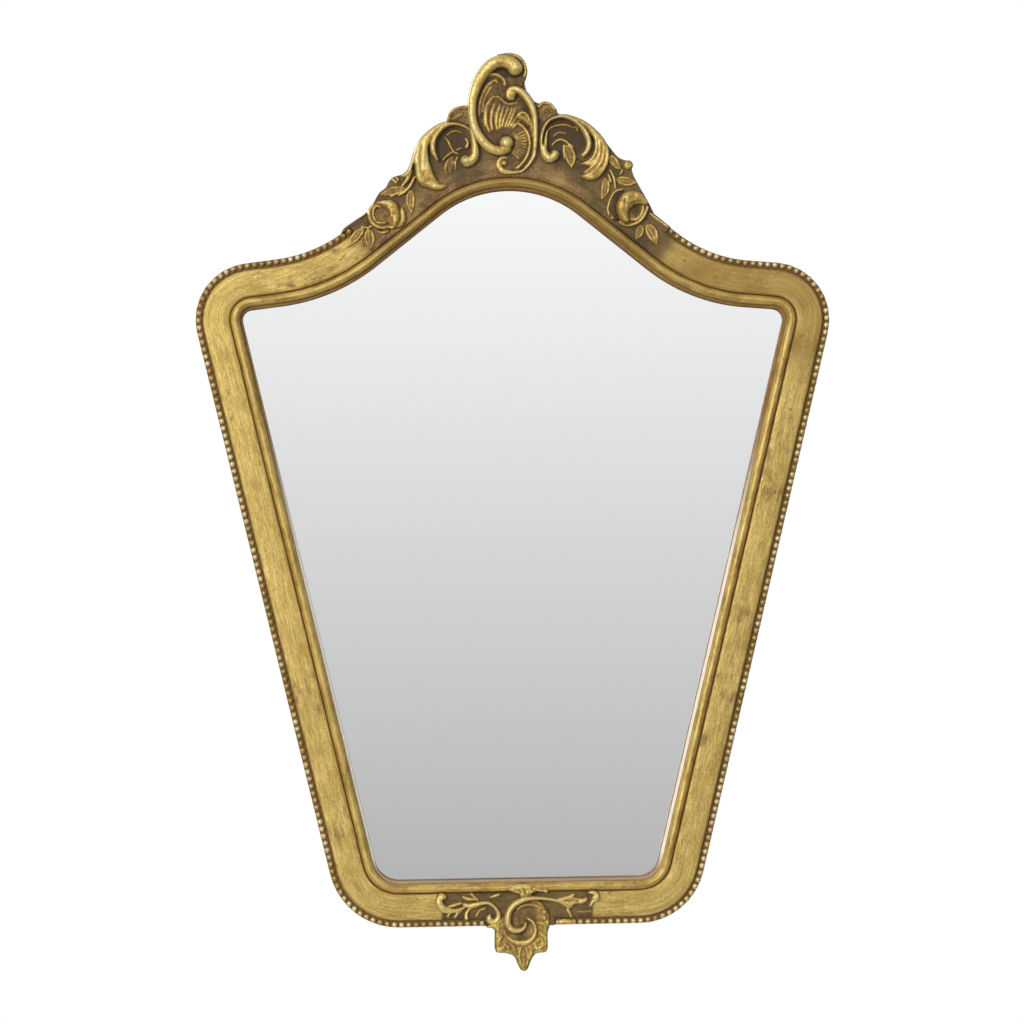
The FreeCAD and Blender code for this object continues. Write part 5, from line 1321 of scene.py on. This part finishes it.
def carve_pendant():
    """The pendant: its scrolls, drop and knot, and the block behind its lower half."""
    piece = Relief(FOOT_LOW, (-25, -36), (42, 30))
    edge = [
        (-21, -1), (-16.5, -2.8), (-15, -6), (-15, -17), (-13.6, -19.4), (-7, -20.2), (-1.8, -22.6),
        (0.6, -28), (2.6, -31.6), (5.2, -32.8), (7.6, -31), (9.6, -26), (12.2, -21.6), (15.4, -20.2),
        (20, -19.6), (21.6, -16.5), (21.6, -6.5), (23, -1), (22.5, 7.5), (16, 16.5), (5, 18), (-5, 14),
        (-9.5, 6),
    ]
    piece.plate(edge, 2.0, 1.4, 0.7)
    piece.hollow(6, 7, 10.0, 0.3, 0.62)
    piece.hollow(3, -8.4, 5.4, 0.3, 0.6)
    piece.roll([
        (36.6, 11), (33.6, 13.6), (30, 15.8), (25, 17.2), (19, 18.1), (13, 18.6), (7.6, 18.2), (2.4, 16.7),
        (-1.8, 14.2), (-4.8, 10.4), (-6.3, 6), (-6.4, 1.4), (-4.6, -2), (-1, -3.8), (2.6, -3.6),
        (5.2, -1.8), (6.2, 0.8),
    ], (1.0, 1.2, 1.4, 1.4, 1.4, 1.5, 1.8, 2.2, 2.4, 2.5, 2.5, 2.5, 2.6, 2.5, 2.2, 1.7, 1.0),
       (2.6, 3.4, 4.2, 5.0, 5.6, 5.4, 4.6), 0.4)
    piece.roll([
        (7.8, 4.2), (10.6, 2.4), (12.4, -0.8), (13, -4.2), (12, -8), (9.4, -10.9), (6, -12.4), (1.4, -12.6),
        (-3, -11.2), (-6.2, -9),
    ], (0.9, 1.2, 1.3, 1.4, 1.6, 1.8, 2.0, 1.9, 1.5, 1.1), (2.6, 3.0, 2.8, 2.2, 2.0), 1.4, gilt=0.95)
    piece.roll([(0.4, 10.6), (3.4, 12.8), (8, 13.9), (13, 13.3), (17, 11.2)],
               (0.8, 1.1, 1.1, 0.9), (1.6, 1.8, 1.4), 1.4, gilt=0.6)
    # curled leaves each side of the drop
    piece.dome(19.4, 8.4, 2.0, 2.4, 1.0, gilt=0.7)
    piece.dome(19.4, 4.6, 1.8, 3.0, 1.0)
    piece.dome(14.4, -11, 1.4, 2.4, 1.2)
    piece.dome(-13.2, -2.8, 1.7, 2.8, 1.0)
    for points in (
        [(15.8, 1.2), (18.8, 0), (20.4, -3.6)], [(17.4, -7.2), (19.8, -9.4), (20.4, -13.6)],
        [(15.6, -16.6), (17.6, -15.4), (19, -14.6)], [(12.6, -13.6), (14, -17), (18, -18)],
        [(-9, -4.4), (-7.6, -7.4), (-5.6, -9.8)], [(-13.6, -11.8), (-11.6, -9.6), (-10, -7)],
        [(-13.6, -14.2), (-12.4, -12.6), (-10.4, -13)],
        [(-13.4, -17.6), (-11, -16.4), (-9, -15), (-10.6, -13.4)],
        [(-8.4, -13.4), (-6, -16), (-6.4, -18.6)], [(-3.6, -14), (-1.6, -17.4), (-0.6, -21)],
        [(9, -15), (10, -19), (8.6, -25)],
    ):
        piece.roll(points, (1.2, 1.6, 1.1), (1.8, 2.2, 1.4), 1.2, 0.5, 0.55)
    piece.leaf([(4.4, -14.4), (4.8, -22), (5, -32.4)], 9.0, 2.4, 1.0, 0.9)
    piece.stroke([(4.6, -25), (5, -30)], 1.2, 0.6)
    # knot of leaves over the sight moulding
    piece.plate([
        (-6.2, 24.4), (-4, 26.8), (-0.4, 28.4), (5, 28.9), (10.4, 28.2), (14, 26.2), (18, 24.8),
        (22.2, 23.8), (22.2, 22.2), (17, 22.4), (12.4, 21.8), (9.4, 19.4), (5.4, 17.6), (3, 19.6),
        (0, 21.4), (-3, 22.4),
    ], 4.6, 2.6, 0.75)
    piece.stroke([(-3, 24.4), (1, 24), (4, 21.4)], 0.7, -0.9)
    piece.stroke([(3, 27.6), (5.2, 24.6), (6.6, 20.6)], 0.7, -0.7)
    piece.stroke([(10.4, 27), (11.4, 24.4), (16, 23)], 0.7, -0.7)
    piece.dome(-2, 26.2, 2.0, 4.9)
    piece.dome(20.6, 23.1, 1.7, 4.0)
    piece.dome(3.3, 20.4, 1.3, 4.4)
    fitted(piece.carved("foot_pendant_carved", seed=18), "gilt_carving", "foot_pendant")
    core = Relief(FOOT_LOW, (-25, -36), (27, 2))
    core.plate(edge, 0.6, 1.0, 0.6)
    core.cover = np.minimum(core.cover, CORE_TOP - core.z)
    block = core.carved("foot_pendant_core", seed=19, back=PENDANT_BACK - BAND_HEIGHT)
    fitted(block, "gilt_carving", "foot_pendant")


def carve_board():
    """The crest board: its sawn edge from listed points, its lower edge along the frame's outer line."""
    board = Relief(CREST_TOP, (-122, -82), (123, 68), BOARD_STEP)
    board.plate([
        (-117, -62), (-108, -54), (-102, -50), (-97, -45.5), (-94, -40.5), (-90.5, -34.5), (-86, -30.8),
        (-84, -27), (-81.4, -23.8), (-77.6, -22.4), (-74.6, -21.6), (-71.5, -19), (-68.5, -13), (-65.5, -4),
        (-60.5, 3.5), (-54.5, 8), (-47, 12), (-43, 15.5), (-40, 20.5), (-36, 24), (-30.5, 24.5),
        (-26.5, 32), (-23, 44), (-16.5, 52), (-8, 59), (-1, 61), (6.5, 59.5), (10.8, 55), (10.8, 46),
        (13.5, 34), (19.5, 28.8), (26.5, 27.6), (31.5, 24.2), (36.5, 20.2), (44.5, 18.2), (52.5, 15.2),
        (59.5, 10.2), (65.5, 4.8), (70.5, -2), (76.5, -9), (81.5, -11.2), (85, -12.6), (86.8, -20.4),
        (90.2, -27.4), (94.2, -34.4), (98.2, -41.5), (102.5, -49.5), (109, -55.5), (116, -61.5), (114, -76),
        (40, -38), (0, -18), (-40, -38), (-114, -76),
    ], 0.1, 0.8)
    places = along_frame(crest_start, crest_end, FRAME_WIDTH)[0] - np.array(CREST_TOP)
    rising = np.argsort(places[:, 0])
    above = board.z - np.interp(board.x, places[rising, 0], places[rising, 1])
    board.cover = np.minimum(board.cover, RAIL_SLOPE * above + BOARD_LAP)
    piece = board.carved("crest_board_carved", seed=20, back=-BAND_HEIGHT, material=crest_ground())
    fitted(piece, "gilt_frame", "crest_board")


carve_cartouche()
carve_left_scroll()
carve_right_scroll()
carve_left_rose()
carve_right_rose()
carve_foot_scrolls()
carve_pendant()
carve_board()

# Finishes of the CAD nodes that keep their own shape
wood, board, brass, rubber = plain_wood(), grey_board(), aged_brass(), soft_rubber()
KEPT = {
    "mirror_plate": mirror_silver(), "back_board": hardboard(), "corner_dowels": wood, "crest_dowels": wood,
    "backing_sheet": board, "setting_blocks": board, "turn_button_screws": brass, "hanger_screws": brass,
    "hanger_strap": brass, "hanger_ring": brass, "wall_bumper_left": rubber, "wall_bumper_right": rubber,
}
KEPT.update({f"turn_button_{number}": brass for number in range(1, 9)})
for label, material in KEPT.items():
    nodes[label].data.materials.clear()
    nodes[label].data.materials.append(material)

# Stage: pale floor, soft light, white surround, and a mirror view that pales upwards
FLOOR_DEPTH = -1.6
FLOOR_REACH = 0.9
# Brightness by direction, from -1 to 1: the glass shows the first two, the gilding also the glow
UPWARD = [(-1.0, 0.03), (-0.5, 0.12), (-0.24, 0.35), (-0.149, 0.462), (-0.03, 0.658), (0.124, 0.956),
          (0.35, 1.0), (0.7, 0.6), (1.0, 0.5)]
SIDEWAYS = [(-1.0, 0.4), (-0.6, 0.5), (-0.26, 1.0), (0.24, 1.0), (0.4, 0.62), (1.0, 0.5)]
GLOW_ACROSS = [(-1.0, 0.0), (-0.68, 0.0), (-0.52, 10.0), (-0.42, 10.0), (-0.28, 0.0), (1.0, 0.0)]
GLOW_UP = [(-1.0, 0.0), (-0.14, 0.0), (0.08, 1.0), (0.26, 1.0), (0.5, 0.0), (1.0, 0.0)]
CAMERA_AIM = (-0.0020, -0.018, -0.2802)
CAMERA_AZIMUTH, CAMERA_ELEVATION, CAMERA_ROLL = -3.745, 0.41, -0.313
CAMERA_DISTANCE = 1.8
CAMERA_LENS = 90.5


def pale_floor():
    """A round pale floor well below the piece."""
    mesh = bpy.data.meshes.new("floor")
    work = bmesh.new()
    bmesh.ops.create_circle(work, cap_ends=True, radius=FLOOR_REACH, segments=96)
    work.to_mesh(mesh)
    work.free()
    mesh.transform(Matrix.Translation((0.0, 0.0, FLOOR_DEPTH)))
    finish = Finish("pale_floor")
    speck = finish.noise(finish.place(), 40.0)
    colour = finish.mix(speck, tone(236, 236, 234), tone(242, 242, 240))
    mesh.materials.append(finish.end(Base_Color=colour, Roughness=0.9))
    floor = bpy.data.objects.new("floor", mesh)
    bpy.context.scene.collection.objects.link(floor)


def soft_surround():
    """White to the camera. To glass and gilding, bright above and to the left, dim below and to the right."""
    world = bpy.data.worlds.new("studio")
    world.use_nodes = True
    bpy.context.scene.world = world
    sky = Nodes(world.node_tree)
    way = sky.add("ShaderNodeTexCoord").outputs["Generated"]
    split = sky.add("ShaderNodeSeparateXYZ", {0: way}).outputs

    def greys(axis, stops):
        ramp = sky.add("ShaderNodeValToRGB", {
            0: sky.made("ShaderNodeMapRange", {"From Min": -1.0, "Value": split[axis]}),
        })
        while len(ramp.color_ramp.elements) < len(stops):
            ramp.color_ramp.elements.new(0.5)
        for element, (spot, grey) in zip(ramp.color_ramp.elements, stops):
            element.position = (spot + 1) / 2
            element.color = (grey, grey, grey, 1.0)
        return ramp.outputs[0]

    fall = sky.mix(1.0, greys("Z", UPWARD), greys("X", SIDEWAYS), "MULTIPLY")
    glow = sky.mix(1.0, greys("X", GLOW_ACROSS), greys("Z", GLOW_UP), "MULTIPLY")
    both = sky.mix(1.0, fall, glow, "ADD")
    seen = sky.add("ShaderNodeLightPath").outputs["Is Camera Ray"]
    colour = sky.mix(seen, both, (1.0, 1.0, 1.0, 1.0))
    sky.join(colour, world.node_tree.nodes["Background"].inputs["Color"])


def soft_light(name, place, aim, size, power):
    """A round lamp that lights the piece and doesn't show in the glass or the leaf."""
    data = bpy.data.lights.new(name, "AREA")
    data.shape = "DISK"
    data.size = size
    data.energy = power
    lamp = bpy.data.objects.new(name, data)
    lamp.location = place
    lamp.visible_glossy = False
    lamp.rotation_euler = (Vector(aim) - Vector(place)).to_track_quat("-Z", "Y").to_euler()
    bpy.context.scene.collection.objects.link(lamp)


def photo_camera():
    """A long lens a little to the left, level with the middle of the glass, rolled slightly."""
    azimuth, elevation, roll = (math.radians(v) for v in (CAMERA_AZIMUTH, CAMERA_ELEVATION, CAMERA_ROLL))
    level = math.cos(elevation)
    back = Vector((math.sin(azimuth) * level, -math.cos(azimuth) * level, math.sin(elevation)))
    data = bpy.data.cameras.new("photo_camera")
    data.sensor_width = 36.0
    data.lens = CAMERA_LENS
    data.clip_start, data.clip_end = 0.05, 50.0
    camera = bpy.data.objects.new("photo_camera", data)
    turn = (-back).to_track_quat("-Z", "Y").to_matrix() @ Matrix.Rotation(roll, 3, "Z")
    camera.matrix_world = Matrix.Translation(Vector(CAMERA_AIM) + back * CAMERA_DISTANCE) @ turn.to_4x4()
    bpy.context.scene.collection.objects.link(camera)
    bpy.context.scene.camera = camera


pale_floor()
soft_surround()
soft_light("key", place=(-0.95, -1.1, -0.1), aim=(0.0, 0.0, -0.28), size=0.8, power=9.5)
soft_light("back_fill", place=(0.9, 2.2, 0.9), aim=(0.0, 0.0, -0.25), size=1.2, power=45.0)
photo_camera()
bpy.context.scene.view_settings.view_transform = "Standard"
